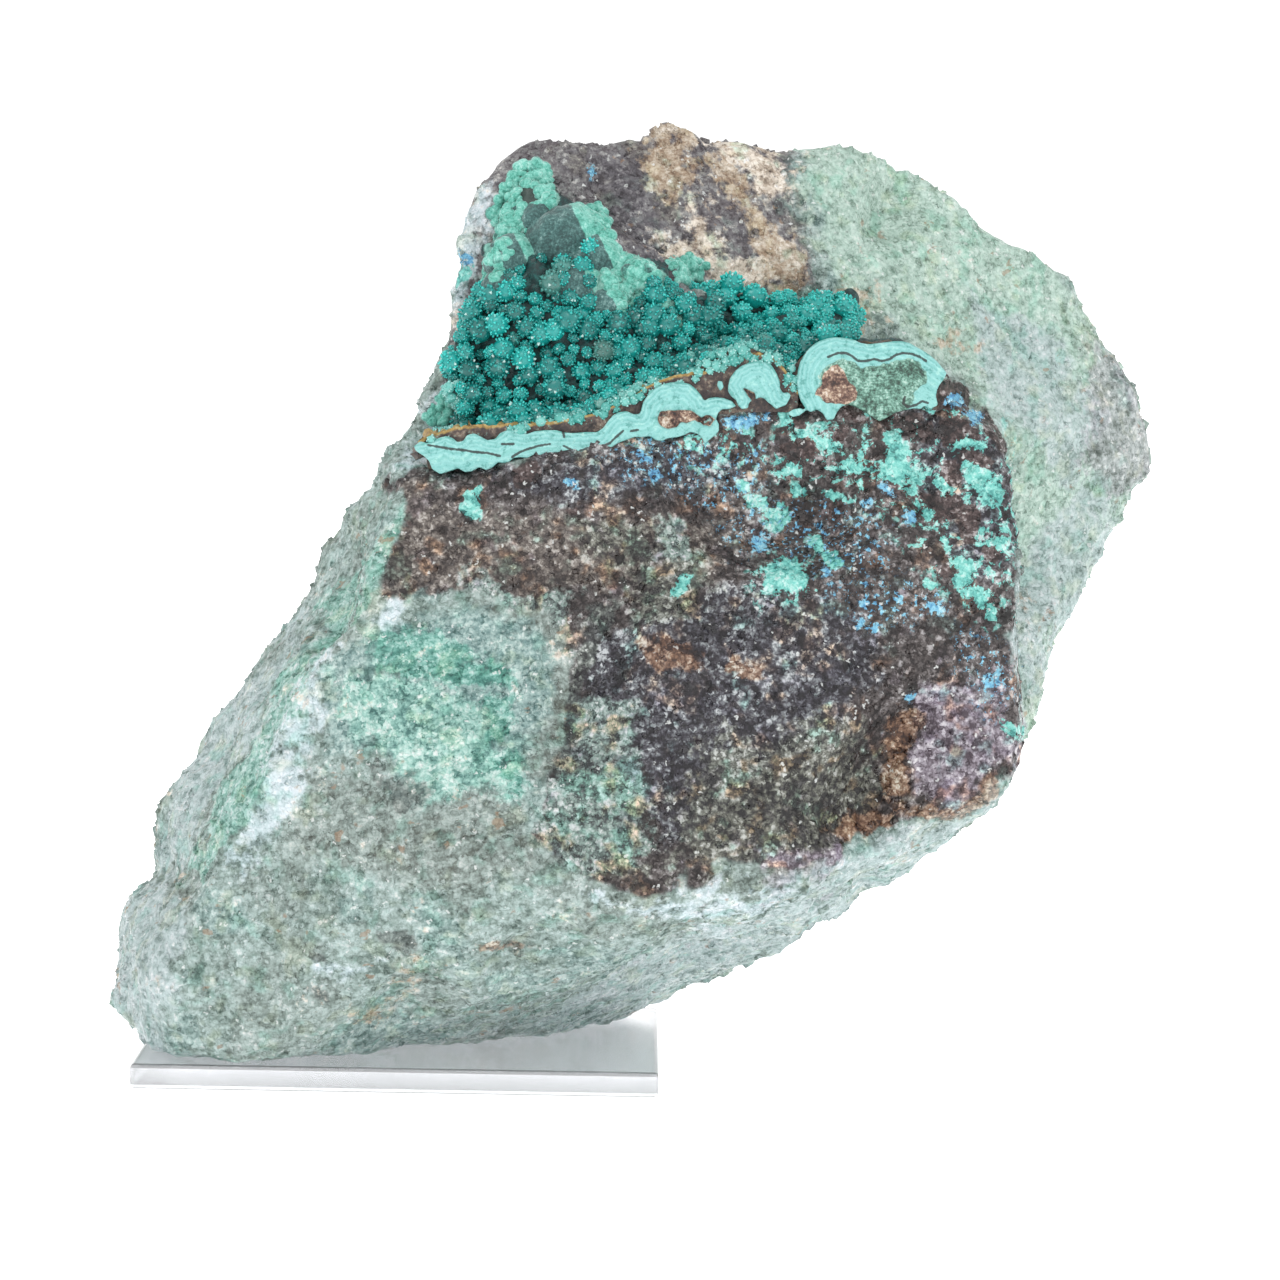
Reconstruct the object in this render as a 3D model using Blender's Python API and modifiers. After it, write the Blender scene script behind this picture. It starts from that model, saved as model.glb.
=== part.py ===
# Brochantite on matrix: a broken block of copper-stained rock with a druse of
# brochantite crystals in a hollow at its top, resting on a clear square display base.
# The base's underside is centred on the origin. All lengths in this file are millimetres.

import math
import random

import bmesh
import bpy
from mathutils import Vector, noise

MM = 0.001

# Display base
BASE_SIDE = 31.75
BASE_THICK = 1.5
BASE_BEVEL = 0.25

# Rock
REST_GAP = 0.3
REST_Z = BASE_THICK + REST_GAP
ROCK_VOXEL = 0.7
ROCK_FACES = 5000
ROCK_SEED = 17
CHIP_COUNT = 150

# Crust in the hollow
CRUST_GAP = 0.35
CRUST_VOXEL = 0.36
CRUST_FACES = 4600
LIP_FRONT = -13.3
LIP_BACK = -8.6
GLOBULE_R = 0.85
GLOBULE_STEP = 1.35

# Corners of the broken blocks that make up the rock, as (x, y, z) with -y to the front.
FRONT_BLOCK = [
    # edge under the malachite vein, left to right
    (1.2, -13.1, 37.1), (6.9, -13.1, 38.0), (14.1, -12.9, 40.3), (20.4, -12.8, 41.6),
    (27.9, -12.7, 41.6), (32.7, -12.3, 42.8), (35.9, -12.4, 40.2),
    # right edge, downwards
    (36.2, -13.4, 32.5), (36.8, -14.4, 24.8), (37.4, -14.6, 21.5), (36.4, -13.7, 18.6),
    # pale fringe where the front face ends, right to left
    (30.4, -15.9, 16.4), (23.5, -18.6, 13.2), (14.6, -21.1, 12.6), (8.7, -21.6, 13.6),
    (2.1, -21.0, 15.2), (-5.1, -19.3, 17.9),
    # ridge on the left, upwards
    (-5.8, -17.9, 23.5), (-4.1, -17.3, 26.2), (-1.3, -16.0, 30.9), (0.1, -14.8, 33.8), (-0.3, -13.6, 36.7),
    # where it meets the rest of the rock
    (0.0, -8.0, 38.6), (4.0, -2.0, 39.5), (27.0, 3.0, 41.5), (36.4, 2.0, 39.6), (37.4, 1.0, 31.9),
    (38.2, 0.5, 20.8), (36.6, -4.8, 17.6), (20.0, 6.0, 10.0), (-3.0, 2.0, 20.0),
]
FOOT = [
    # under the fringe, left to right
    (-8.2, -17.8, 18.1), (-5.1, -19.3, 17.9), (2.1, -21.0, 15.2), (8.7, -21.6, 13.6),
    (14.6, -21.1, 12.6), (23.5, -18.6, 13.2), (30.4, -15.9, 16.4), (36.4, -13.7, 18.6),
    # ridge on the left, downwards
    (-10.9, -17.1, 13.5), (-11.8, -16.7, 10.9), (-14.3, -15.4, 7.4), (-15.0, -13.5, 4.0),
    # front edge of the resting facet, left to right
    (-12.8, -15.6, 1.0), (-6.3, -14.0, 1.0), (0.3, -8.0, 1.0), (6.3, -2.0, 1.0), (12.3, 6.0, 1.0), (15.3, 11.5, 1.0),
    # underside, rising to the right
    (18.5, 7.5, 4.0), (22.2, 3.0, 6.1), (26.4, -2.0, 8.8), (30.5, -7.0, 12.4), (33.9, -10.9, 15.9),
    # behind
    (36.6, -4.8, 18.2), (26.0, 9.0, 12.0), (13.0, 15.5, 3.0), (-8.0, 15.5, 1.0), (-12.5, 3.0, 1.0), (-11.0, 2.0, 17.0),
]
LEFT_SHOULDER = [
    (-0.3, -13.6, 36.7), (0.1, -14.8, 33.8), (-1.3, -16.0, 30.9), (1.0, -9.4, 39.6), (-0.5, -7.6, 37.4),
    (-1.6, -5.7, 35.7), (-4.0, -3.8, 33.9), (-3.6, -7.4, 31.6), (4.0, -6.0, 38.0), (4.0, 8.0, 36.0), (-2.5, 4.0, 33.5),
    (-1.0, 0.0, 26.0),
]
LEFT_FLANK = [
    (-1.3, -16.0, 30.9), (-4.1, -17.3, 26.2), (-5.8, -17.9, 23.5), (-8.2, -17.8, 18.1), (-10.9, -17.1, 13.5),
    (-3.4, -7.4, 32.0), (-5.8, -9.2, 27.4), (-8.3, -10.5, 22.9), (-10.2, -11.7, 19.4),
    (-5.3, -2.9, 32.6), (-5.9, -2.0, 30.0), (-7.4, -2.2, 27.5), (-9.1, -2.4, 24.3), (-12.0, -2.6, 20.3),
    (-15.0, -2.9, 16.2), (-15.7, -3.0, 12.6), (-12.5, -12.0, 11.0),
    (-5.1, -19.3, 17.9), (-5.2, -18.8, 20.5), (2.0, 13.0, 33.0), (-8.0, 12.0, 25.5), (-15.4, 11.5, 13.5), (0.0, 12.0, 12.0),
]
LEFT_TOE = [
    (-11.8, -16.7, 10.9), (-12.9, -13.7, 11.6), (-14.3, -15.4, 7.4), (-15.0, -13.5, 4.0), (-12.8, -15.6, 1.0),
    (-15.9, -3.4, 11.3), (-17.4, -4.3, 9.5), (-17.8, -5.5, 6.2), (-18.1, -6.6, 3.6), (-16.3, -8.7, 2.6),
    (-14.0, -11.8, 1.0), (-17.0, 9.0, 9.0), (-17.4, 8.0, 4.0), (-15.0, 13.0, 1.0), (-4.0, -6.0, 1.0), (-4.0, 0.0, 13.0),
]
CREST = [
    # upper left edge, upwards
    (1.0, -9.4, 39.2), (1.4, -8.3, 41.5), (2.7, -7.6, 45.7), (2.6, -7.0, 47.5), (3.2, -5.8, 50.6), (4.0, -4.0, 54.3),
    # top edge, left to right
    (5.8, -2.9, 56.8), (8.2, -1.8, 57.4), (13.8, -0.8, 57.8), (18.2, 1.2, 57.6), (22.5, 3.1, 57.1), (26.0, 4.7, 57.6),
    # wall behind the hollow
    (9.0, -4.4, 53.8), (14.4, -3.6, 53.9), (17.6, -3.2, 52.1), (13.0, -5.5, 46.0), (8.0, -7.0, 44.0), (18.0, -3.8, 46.0),
    (14.0, -7.0, 40.0), (24.0, -0.5, 47.0), (27.6, 0.6, 47.5), (27.0, -1.5, 41.0),
    # behind
    (6.0, 6.0, 54.0), (14.0, 11.0, 54.5), (24.0, 12.5, 52.0), (2.0, 8.0, 42.0), (4.0, 14.5, 34.0), (26.0, 11.0, 36.0),
]
SLAB = [
    # top edge, left to right
    (24.5, 4.2, 57.2), (26.0, 4.7, 57.7), (30.2, 6.6, 56.2), (35.8, 8.9, 52.5), (40.8, 10.7, 49.8), (42.5, 11.6, 47.9),
    # right edge, downwards
    (46.1, 12.8, 42.3), (46.9, 13.4, 36.9),
    # front, which stands back from the front block
    (22.0, 1.5, 51.0), (27.6, 0.6, 48.0), (34.2, 5.2, 48.1), (39.4, 8.0, 45.6), (43.4, 10.0, 41.8), (30.0, 1.0, 40.0),
    (36.8, 3.0, 38.0), (42.0, 9.0, 33.5), (24.0, 0.0, 36.0),
    # behind
    (26.0, 12.5, 54.0), (34.0, 14.5, 49.5), (42.0, 16.5, 44.0), (44.0, 16.5, 38.0), (24.0, 13.0, 34.0), (36.0, 14.5, 34.0),
]
SLAB_TAIL = [
    (45.4, 12.9, 35.9), (42.8, 11.0, 30.2), (41.1, 9.8, 26.4), (39.6, 7.6, 22.7), (38.2, 3.0, 19.0), (36.8, 3.0, 40.0),
    (37.6, 3.0, 29.2), (37.6, 2.0, 23.0), (43.5, 10.5, 38.5), (44.5, 14.6, 38.5), (42.0, 15.0, 31.0), (36.0, 12.0, 24.0),
    (24.0, 13.0, 36.0), (22.0, 12.0, 22.0), (24.0, 2.0, 30.0), (26.0, 2.0, 14.0),
]
BACK_MASS = [
    (2.0, 10.0, 36.0), (8.0, 16.0, 34.0), (22.0, 13.5, 32.0), (-7.5, 16.0, 23.0), (3.0, 19.5, 20.0), (20.0, 15.0, 18.0),
    (-15.0, 13.5, 11.0), (-14.0, 17.5, 1.0), (5.0, 18.5, 1.0), (14.0, 15.5, 2.5), (-4.0, 0.0, 8.0), (14.0, 0.0, 14.0),
    (4.0, 0.0, 36.0), (20.0, 2.0, 34.0),
]
ROCK_BLOCKS = [
    FRONT_BLOCK, FOOT, LEFT_SHOULDER, LEFT_FLANK, LEFT_TOE, CREST, SLAB, SLAB_TAIL, BACK_MASS,
]
# Small bumps that stand out of the outline, as (x, y, z, radius)
KNOBS = [(15.4, -0.3, 56.6, 2.0), (-16.2, -4.6, 9.2, 1.6), (41.2, 11.2, 48.2, 1.1), (-2.6, -6.4, 34.2, 1.4)]
# Long hollows in the front face, as (start, end, half width, depth)
GROOVES = [
    ((12.6, -16.5, 30.0), (9.6, -19.5, 20.5), 1.5, 0.8),
    ((1.2, -19.0, 20.6), (3.8, -19.8, 18.2), 1.1, 0.5),
    ((26.0, -13.3, 35.0), (30.0, -14.0, 27.0), 2.2, 0.35),
]

# Outline of the crust's broken front, the lip, as (x, z) from its lower left corner
LIP = [
    (1.4, 36.8), (1.3, 39.3), (6.9, 40.1), (11.7, 41.0), (13.4, 42.1), (15.2, 42.8), (16.6, 43.1), (18.3, 44.5),
    (20.3, 45.0), (21.9, 44.8), (22.4, 43.6), (23.0, 42.8), (23.4, 44.3), (24.3, 45.2), (25.7, 45.7), (27.3, 45.4),
    (29.6, 45.6), (31.4, 44.6), (32.6, 43.4), (32.9, 42.0), (31.0, 40.0), (20.0, 39.0), (8.0, 36.5),
]
# Mound that carries the main druse, up the wall on the left of the hollow
MOUND = [
    (5.4, -4.4, 55.4), (7.6, -5.0, 55.0), (8.1, -6.8, 52.2), (9.9, -7.2, 52.9), (11.5, -7.6, 52.0), (12.8, -7.8, 49.8),
    (14.8, -7.0, 49.4), (16.7, -6.0, 49.8), (17.4, -6.2, 47.6), (18.2, -7.8, 44.8), (16.8, -10.0, 42.6),
    (11.6, -10.2, 41.0), (5.6, -10.4, 39.8), (2.8, -9.8, 41.0), (3.0, -8.7, 43.3), (3.9, -8.0, 46.3), (4.5, -7.2, 48.8),
    (4.8, -5.7, 51.8), (8.0, -2.0, 50.0), (14.0, -2.0, 48.0), (16.0, -4.0, 40.0), (6.0, -5.0, 38.5),
]
# Bank that carries the druse at the back of the hollow, on the right
BANK = [
    (16.6, -4.2, 48.2), (18.9, -3.1, 48.2), (21.3, -2.6, 47.7), (23.8, -1.6, 48.2), (26.6, -0.6, 48.0),
    (26.8, -2.1, 45.2), (17.7, -5.5, 44.7), (23.2, -5.2, 42.4), (27.0, -4.5, 42.6), (18.0, -8.6, 42.0),
    (27.0, -9.0, 42.0), (18.0, -1.0, 40.0), (27.0, 1.0, 40.0),
]
# Areas that carry crystal globules, as (x, z) outlines seen from the front
DRUSE_AREAS = [
    [(2.6, 41.4), (2.5, 43.6), (3.6, 46.6), (4.6, 50.4), (7.4, 50.4), (9.4, 49.2), (12.4, 49.4), (14.6, 49.6),
     (17.6, 47.4), (18.6, 44.8), (16.4, 43.0), (12.2, 41.6), (6.0, 40.6)],
    [(16.8, 48.6), (19.4, 47.9), (21.3, 47.6), (23.8, 48.3), (26.8, 48.2), (26.8, 44.6), (22.6, 43.4), (18.6, 44.6)],
]


def new_material(name, color, roughness, transmission=0.0):
    material = bpy.data.materials.new(name)
    material.use_nodes = True
    shader = material.node_tree.nodes["Principled BSDF"]
    shader.inputs["Base Color"].default_value = (*color, 1.0)
    shader.inputs["Roughness"].default_value = roughness
    shader.inputs["Metallic"].default_value = 0.0
    shader.inputs["Transmission Weight"].default_value = transmission
    return material


def new_object(name, mesh, collection):
    obj = bpy.data.objects.new(name, mesh)
    collection.objects.link(obj)
    return obj


def object_from(bm, name, collection):
    mesh = bpy.data.meshes.new(name)
    bm.to_mesh(mesh)
    bm.free()
    return new_object(name, mesh, collection)


def add_hull(bm, corners):
    """Adds the convex block that these corners, in millimetres, span."""
    points = [bm.verts.new(Vector(corner) * MM) for corner in corners]
    made = bmesh.ops.convex_hull(bm, input=points)
    inside = {item for item in made["geom_interior"] if isinstance(item, bmesh.types.BMVert)}
    loose = [point for point in points if point in inside or not point.link_faces]
    bmesh.ops.delete(bm, geom=loose, context="VERTS")


def add_ball(bm, center, radius, subdivisions=1, squash=(1.0, 1.0, 1.0)):
    made = bmesh.ops.create_icosphere(bm, subdivisions=subdivisions, radius=radius * MM)
    bmesh.ops.scale(bm, vec=Vector(squash), verts=made["verts"])
    bmesh.ops.translate(bm, vec=Vector(center) * MM, verts=made["verts"])
    return made["verts"]


def add_plate(bm, outline, front, back):
    """Adds a closed outline in x and z, extruded from front to back."""
    points = [bm.verts.new(Vector((x, front, z)) * MM) for x, z in outline]
    face = bm.faces.new(points)
    grown = bmesh.ops.extrude_face_region(bm, geom=[face])
    moved = [item for item in grown["geom"] if isinstance(item, bmesh.types.BMVert)]
    bmesh.ops.translate(bm, vec=Vector((0.0, back - front, 0.0)) * MM, verts=moved)
    bmesh.ops.recalc_face_normals(bm, faces=bm.faces)


def bake(obj):
    """Replaces the object's mesh by what its modifiers make of it."""
    graph = bpy.context.evaluated_depsgraph_get()
    mesh = bpy.data.meshes.new_from_object(obj.evaluated_get(graph))
    old = obj.data
    obj.modifiers.clear()
    obj.data = mesh
    bpy.data.meshes.remove(old)


def fuse(obj, voxel):
    """Makes one skin of the overlapping bodies in an object."""
    remesh = obj.modifiers.new("fuse", "REMESH")
    remesh.mode = "VOXEL"
    remesh.voxel_size = voxel * MM
    bake(obj)


def thin_out(obj, faces):
    decimate = obj.modifiers.new("thin out", "DECIMATE")
    triangles = sum(len(face.vertices) - 2 for face in obj.data.polygons)
    decimate.ratio = faces / triangles
    decimate.use_collapse_triangulate = True
    bake(obj)


def keep_largest(bm):
    """Deletes every loose body but the one with the most faces."""
    left = set(bm.faces)
    bodies = []
    while left:
        body = set()
        front = [left.pop()]
        while front:
            face = front.pop()
            body.add(face)
            near = {other for edge in face.edges for other in edge.link_faces if other in left}
            left -= near
            front.extend(near)
        bodies.append(body)
    bodies.sort(key=len)
    spare = [face for body in bodies[:-1] for face in body]
    bmesh.ops.delete(bm, geom=spare, context="FACES")


def chip_surface(bm, count, seed):
    """Shaves flat, slightly tilted facets off the surface, as a broken rock has."""
    rng = random.Random(seed)
    bm.verts.ensure_lookup_table()
    bm.normal_update()
    for _ in range(count):
        start = bm.verts[rng.randrange(len(bm.verts))]
        reach = rng.uniform(3.0, 8.0) * MM
        sink = rng.uniform(0.0, 0.3) * MM
        tilt = Vector([rng.uniform(-0.25, 0.25) for _ in range(3)])
        normal = (start.normal + tilt).normalized()
        center = start.co.copy()
        level = center - normal * sink
        for vert in bm.verts:
            distance = (vert.co - center).length / reach
            if distance < 1.0 and vert.normal.dot(normal) > 0.3:
                height = (vert.co - level).dot(normal)
                if height > 0.0:
                    vert.co -= normal * height * min(1.0, 3.0 * (1.0 - distance))
        bm.normal_update()


def carve_grooves(bm):
    for start, end, half_width, depth in GROOVES:
        first, last = Vector(start) * MM, Vector(end) * MM
        along = last - first
        for vert in bm.verts:
            share = min(1.0, max(0.0, (vert.co - first).dot(along) / along.length_squared))
            distance = (vert.co - first - along * share).length / (half_width * MM)
            if distance < 2.0:
                vert.co.y += depth * MM * math.exp(-distance * distance)


def roughen(bm, layers):
    """Moves the surface along its normals by layers of noise, each (size, height)."""
    bm.normal_update()
    moves = []
    for vert in bm.verts:
        amount = 0.0
        for size, height in layers:
            amount += height * noise.noise(vert.co / (size * MM))
        moves.append(vert.normal * amount * MM)
    for vert, move in zip(bm.verts, moves):
        vert.co += move


def cut_flat(bm, height):
    """Cuts the bottom off level, which makes the facet that the rock rests on."""
    plane = Vector((0.0, 0.0, height)) * MM
    cut = bmesh.ops.bisect_plane(
        bm, geom=list(bm.verts) + list(bm.edges) + list(bm.faces),
        plane_co=plane, plane_no=Vector((0.0, 0.0, 1.0)), clear_inner=True,
    )
    rim = [item for item in cut["geom_cut"] if isinstance(item, bmesh.types.BMEdge)]
    bmesh.ops.holes_fill(bm, edges=rim)
    bmesh.ops.triangulate(bm, faces=bm.faces)
    bmesh.ops.recalc_face_normals(bm, faces=bm.faces)
    if bm.calc_volume(signed=True) < 0.0:
        bmesh.ops.reverse_faces(bm, faces=bm.faces)


def make_rock(collection):
    bm = bmesh.new()
    for corners in ROCK_BLOCKS:
        add_hull(bm, corners)
    for x, y, z, radius in KNOBS:
        add_ball(bm, (x, y, z), radius)
    rock = object_from(bm, "matrix_rock", collection)
    fuse(rock, ROCK_VOXEL)

    bm = bmesh.new()
    bm.from_mesh(rock.data)
    roughen(bm, [(9.0, 0.6), (4.0, 0.35)])
    chip_surface(bm, CHIP_COUNT, ROCK_SEED)
    carve_grooves(bm)
    roughen(bm, [(1.6, 0.2)])
    bm.to_mesh(rock.data)
    bm.free()
    thin_out(rock, ROCK_FACES)

    bm = bmesh.new()
    bm.from_mesh(rock.data)
    cut_flat(bm, REST_Z)
    keep_largest(bm)
    bm.to_mesh(rock.data)
    bm.free()
    rock.data.materials.append(new_material("copper stained quartz rock", (0.33, 0.42, 0.36), 0.75))
    return rock


def inside_outline(x, z, outline):
    inside = False
    previous = outline[-1]
    for corner in outline:
        if (corner[1] > z) != (previous[1] > z):
            crossing = corner[0] + (z - corner[1]) * (previous[0] - corner[0]) / (previous[1] - corner[1])
            if x < crossing:
                inside = not inside
        previous = corner
    return inside


def scatter_globules(bm, ground):
    """Sets rounded crystal clusters over the ground that shows from the front in the druse areas."""
    rng = random.Random(5)
    rows = range(int(38 / GLOBULE_STEP), int(52 / GLOBULE_STEP) + 1)
    columns = range(0, int(28 / GLOBULE_STEP) + 1)
    for row in rows:
        for column in columns:
            x = (column + 0.5 * (row % 2) + rng.uniform(-0.3, 0.3)) * GLOBULE_STEP
            z = (row + rng.uniform(-0.3, 0.3)) * GLOBULE_STEP
            radius = GLOBULE_R * rng.uniform(0.8, 1.2)
            if not any(inside_outline(x, z, area) for area in DRUSE_AREAS):
                continue
            start = Vector((x, -40.0, z)) * MM
            hit, place, normal, _ = ground.ray_cast(start, Vector((0.0, 1.0, 0.0)))
            if hit:
                center = place / MM + normal * rng.uniform(0.45, 0.95)
                add_ball(bm, center, radius)


def make_crust(rock, collection, helpers):
    bm = bmesh.new()
    add_hull(bm, MOUND)
    add_hull(bm, BANK)
    ground = object_from(bm, "druse ground", helpers)

    bm = bmesh.new()
    add_plate(bm, LIP, LIP_FRONT, LIP_BACK)
    add_hull(bm, MOUND)
    add_hull(bm, BANK)
    scatter_globules(bm, ground)
    crust = object_from(bm, "brochantite_crust", collection)
    fuse(crust, CRUST_VOXEL)
    bm = bmesh.new()
    bm.from_mesh(crust.data)
    roughen(bm, [(2.2, 0.35)])
    bm.to_mesh(crust.data)
    bm.free()

    bed = new_object("crust bed", rock.data.copy(), helpers)
    bed.hide_render = True
    bed.display_type = "WIRE"
    swell = bed.modifiers.new("gap", "DISPLACE")
    swell.strength = CRUST_GAP * MM
    swell.mid_level = 0.0
    bake(bed)
    fit = crust.modifiers.new("fit to the rock", "BOOLEAN")
    fit.operation = "DIFFERENCE"
    fit.solver = "EXACT"
    fit.object = bed
    bake(crust)
    fuse(crust, CRUST_VOXEL)
    thin_out(crust, CRUST_FACES)

    bm = bmesh.new()
    bm.from_mesh(crust.data)
    keep_largest(bm)
    bm.to_mesh(crust.data)
    bm.free()
    for helper in (ground, bed):
        bpy.data.objects.remove(helper)
    crust.data.materials.append(new_material("brochantite", (0.03, 0.42, 0.33), 0.45))
    return crust


def make_base(collection):
    bm = bmesh.new()
    bmesh.ops.create_cube(bm, size=1.0)
    bmesh.ops.scale(bm, vec=Vector((BASE_SIDE, BASE_SIDE, BASE_THICK)) * MM, verts=bm.verts)
    bmesh.ops.translate(bm, vec=Vector((0.0, 0.0, BASE_THICK / 2)) * MM, verts=bm.verts)
    base = object_from(bm, "display_base", collection)
    bevel = base.modifiers.new("softened edges", "BEVEL")
    bevel.width = BASE_BEVEL * MM
    bevel.segments = 2
    base.data.materials.append(new_material("clear acrylic", (0.95, 0.97, 0.98), 0.05, 1.0))
    return base


def main():
    for obj in list(bpy.data.objects):
        bpy.data.objects.remove(obj)
    parts = bpy.data.collections.new("brochantite specimen")
    helpers = bpy.data.collections.new("cutters")
    for collection in (parts, helpers):
        bpy.context.scene.collection.children.link(collection)
    rock = make_rock(parts)
    make_crust(rock, parts, helpers)
    make_base(parts)


main()
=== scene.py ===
import math
import random

import bpy
import numpy as np
from mathutils import Matrix, Vector, noise
from mathutils.bvhtree import BVHTree


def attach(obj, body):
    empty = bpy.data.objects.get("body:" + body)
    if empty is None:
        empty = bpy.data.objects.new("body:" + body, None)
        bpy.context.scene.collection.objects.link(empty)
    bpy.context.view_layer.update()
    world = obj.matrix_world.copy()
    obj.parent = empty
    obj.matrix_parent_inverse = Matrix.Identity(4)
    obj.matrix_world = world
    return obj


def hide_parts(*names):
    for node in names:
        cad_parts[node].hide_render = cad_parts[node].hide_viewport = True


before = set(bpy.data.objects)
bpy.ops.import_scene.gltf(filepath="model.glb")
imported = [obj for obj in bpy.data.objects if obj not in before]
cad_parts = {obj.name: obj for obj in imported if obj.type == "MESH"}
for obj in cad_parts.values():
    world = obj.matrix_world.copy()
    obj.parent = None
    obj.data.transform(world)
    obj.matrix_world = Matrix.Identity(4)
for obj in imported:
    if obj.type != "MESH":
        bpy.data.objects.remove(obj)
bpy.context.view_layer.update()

mm = 0.001


# Camera, and the picture plane that the photograph's pixels lie on

camera = {
    "aim": (14.3, -14.2, 27.4),      # mm, the middle of the picture, on the plane in focus
    "distance": 350.0,               # mm from the aim
    "lookDown": 3.5,                 # degrees
    "roll": 1.0,                     # degrees
    "pictureWidth": 76.8,            # mm across the plane in focus
    "pixels": 1280,
    "sensor": 36.0,
}
aim = np.array(camera["aim"])
lookDown = math.radians(camera["lookDown"])
roll = math.radians(camera["roll"])
forward = np.array([0.0, math.cos(lookDown), -math.sin(lookDown)])
level = np.array([1.0, 0.0, 0.0])
upright = np.array([0.0, math.sin(lookDown), math.cos(lookDown)])
rightward = level * math.cos(roll) + upright * math.sin(roll)
upward = upright * math.cos(roll) - level * math.sin(roll)
pixelSize = camera["pictureWidth"] / camera["pixels"]
middle = camera["pixels"] / 2


def photoPoint(px, py, depth):
    # a point of the photograph, this many mm behind the plane in focus
    grow = (camera["distance"] + depth) / camera["distance"]
    across = rightward * (px - middle) * pixelSize * grow
    up = upward * (middle - py) * pixelSize * grow
    return Vector(aim + across + up + forward * depth) * mm


def photoPixels(points):
    # where points, in metres, show in the photograph, and their depth in mm
    away = np.asarray(points) / mm - aim
    depth = away @ forward
    shrink = camera["distance"] / (camera["distance"] + depth) / pixelSize
    return middle + (away @ rightward) * shrink, middle - (away @ upward) * shrink, depth


def addCamera():
    data = bpy.data.cameras.new("photoCamera")
    data.sensor_width = camera["sensor"]
    data.lens = camera["sensor"] * camera["distance"] / camera["pictureWidth"]
    data.clip_start = 0.01
    data.clip_end = 10.0
    obj = bpy.data.objects.new("photoCamera", data)
    bpy.context.scene.collection.objects.link(obj)
    turn = Matrix((rightward, upward, -forward)).transposed().to_4x4()
    obj.matrix_world = Matrix.Translation(Vector(aim - forward * camera["distance"]) * mm) @ turn
    bpy.context.scene.camera = obj


addCamera()
print("camera set")


# Small helpers for pieces

def onlySelect(obj):
    bpy.ops.object.select_all(action="DESELECT")
    obj.select_set(True)
    bpy.context.view_layer.objects.active = obj


def applyAll(obj):
    onlySelect(obj)
    for modifier in list(obj.modifiers):
        bpy.ops.object.modifier_apply(modifier=modifier.name)


def selectFaces(obj, chosen):
    # goes into edit mode with only these faces selected
    onlySelect(obj)
    bpy.ops.object.mode_set(mode="EDIT")
    bpy.ops.mesh.select_mode(type="FACE")
    bpy.ops.mesh.select_all(action="DESELECT")
    bpy.ops.object.mode_set(mode="OBJECT")
    for face in obj.data.polygons:
        face.select = bool(chosen(face))
    bpy.ops.object.mode_set(mode="EDIT")


def copyOfNode(node, name):
    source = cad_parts[node]
    obj = bpy.data.objects.new(name, source.data.copy())
    bpy.context.scene.collection.objects.link(obj)
    obj.data.materials.clear()
    onlySelect(obj)
    bpy.ops.object.mode_set(mode="EDIT")
    bpy.ops.mesh.select_all(action="SELECT")
    bpy.ops.mesh.remove_doubles(threshold=0.000002)
    bpy.ops.object.mode_set(mode="OBJECT")
    return obj


def remesh(obj, voxel, smooth):
    skin = obj.modifiers.new("skin", "REMESH")
    skin.mode = "VOXEL"
    skin.voxel_size = voxel * mm
    if smooth:
        soften = obj.modifiers.new("soften", "SMOOTH")
        soften.factor = 0.5
        soften.iterations = smooth
    applyAll(obj)


def displace(obj, kind, size, height, group="", level=0.5, **settings):
    texture = bpy.data.textures.new(kind.lower(), kind)
    texture.noise_scale = size * mm
    for key, value in settings.items():
        setattr(texture, key, value)
    modifier = obj.modifiers.new(kind.lower(), "DISPLACE")
    modifier.texture = texture
    modifier.texture_coords = "LOCAL"
    modifier.strength = height * mm
    modifier.mid_level = level
    modifier.vertex_group = group
    applyAll(obj)
    bpy.data.textures.remove(texture)


def points(obj):
    flat = np.empty(len(obj.data.vertices) * 3)
    obj.data.vertices.foreach_get("co", flat)
    return flat.reshape(-1, 3)


def normals(obj):
    flat = np.empty(len(obj.data.vertices) * 3)
    obj.data.vertex_normals.foreach_get("vector", flat)
    return flat.reshape(-1, 3)


def movePoints(obj, places):
    obj.data.vertices.foreach_set("co", places.ravel())
    obj.data.update()


def attribute(obj, name, values, kind="FLOAT"):
    layer = obj.data.attributes.new(name, kind, "POINT")
    if kind == "FLOAT":
        layer.data.foreach_set("value", np.asarray(values, dtype=np.float32))
    else:
        layer.data.foreach_set("color", np.asarray(values, dtype=np.float32).ravel())


def triangleCount(obj):
    return sum(len(face.vertices) - 2 for face in obj.data.polygons)


def smoothShade(obj, angle=None):
    onlySelect(obj)
    if angle is None:
        bpy.ops.object.shade_smooth()
    else:
        bpy.ops.object.shade_smooth_by_angle(angle=math.radians(angle))


def finishPiece(obj, slotName, *replaced):
    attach(obj, "root")
    if replaced:
        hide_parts(*replaced)


def soft(low, high, value):
    share = np.clip((value - low) / (high - low), 0.0, 1.0)
    return share * share * (3.0 - 2.0 * share)


# Zones of colour: outlines in pixels of the photograph, and how softly each one ends

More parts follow.
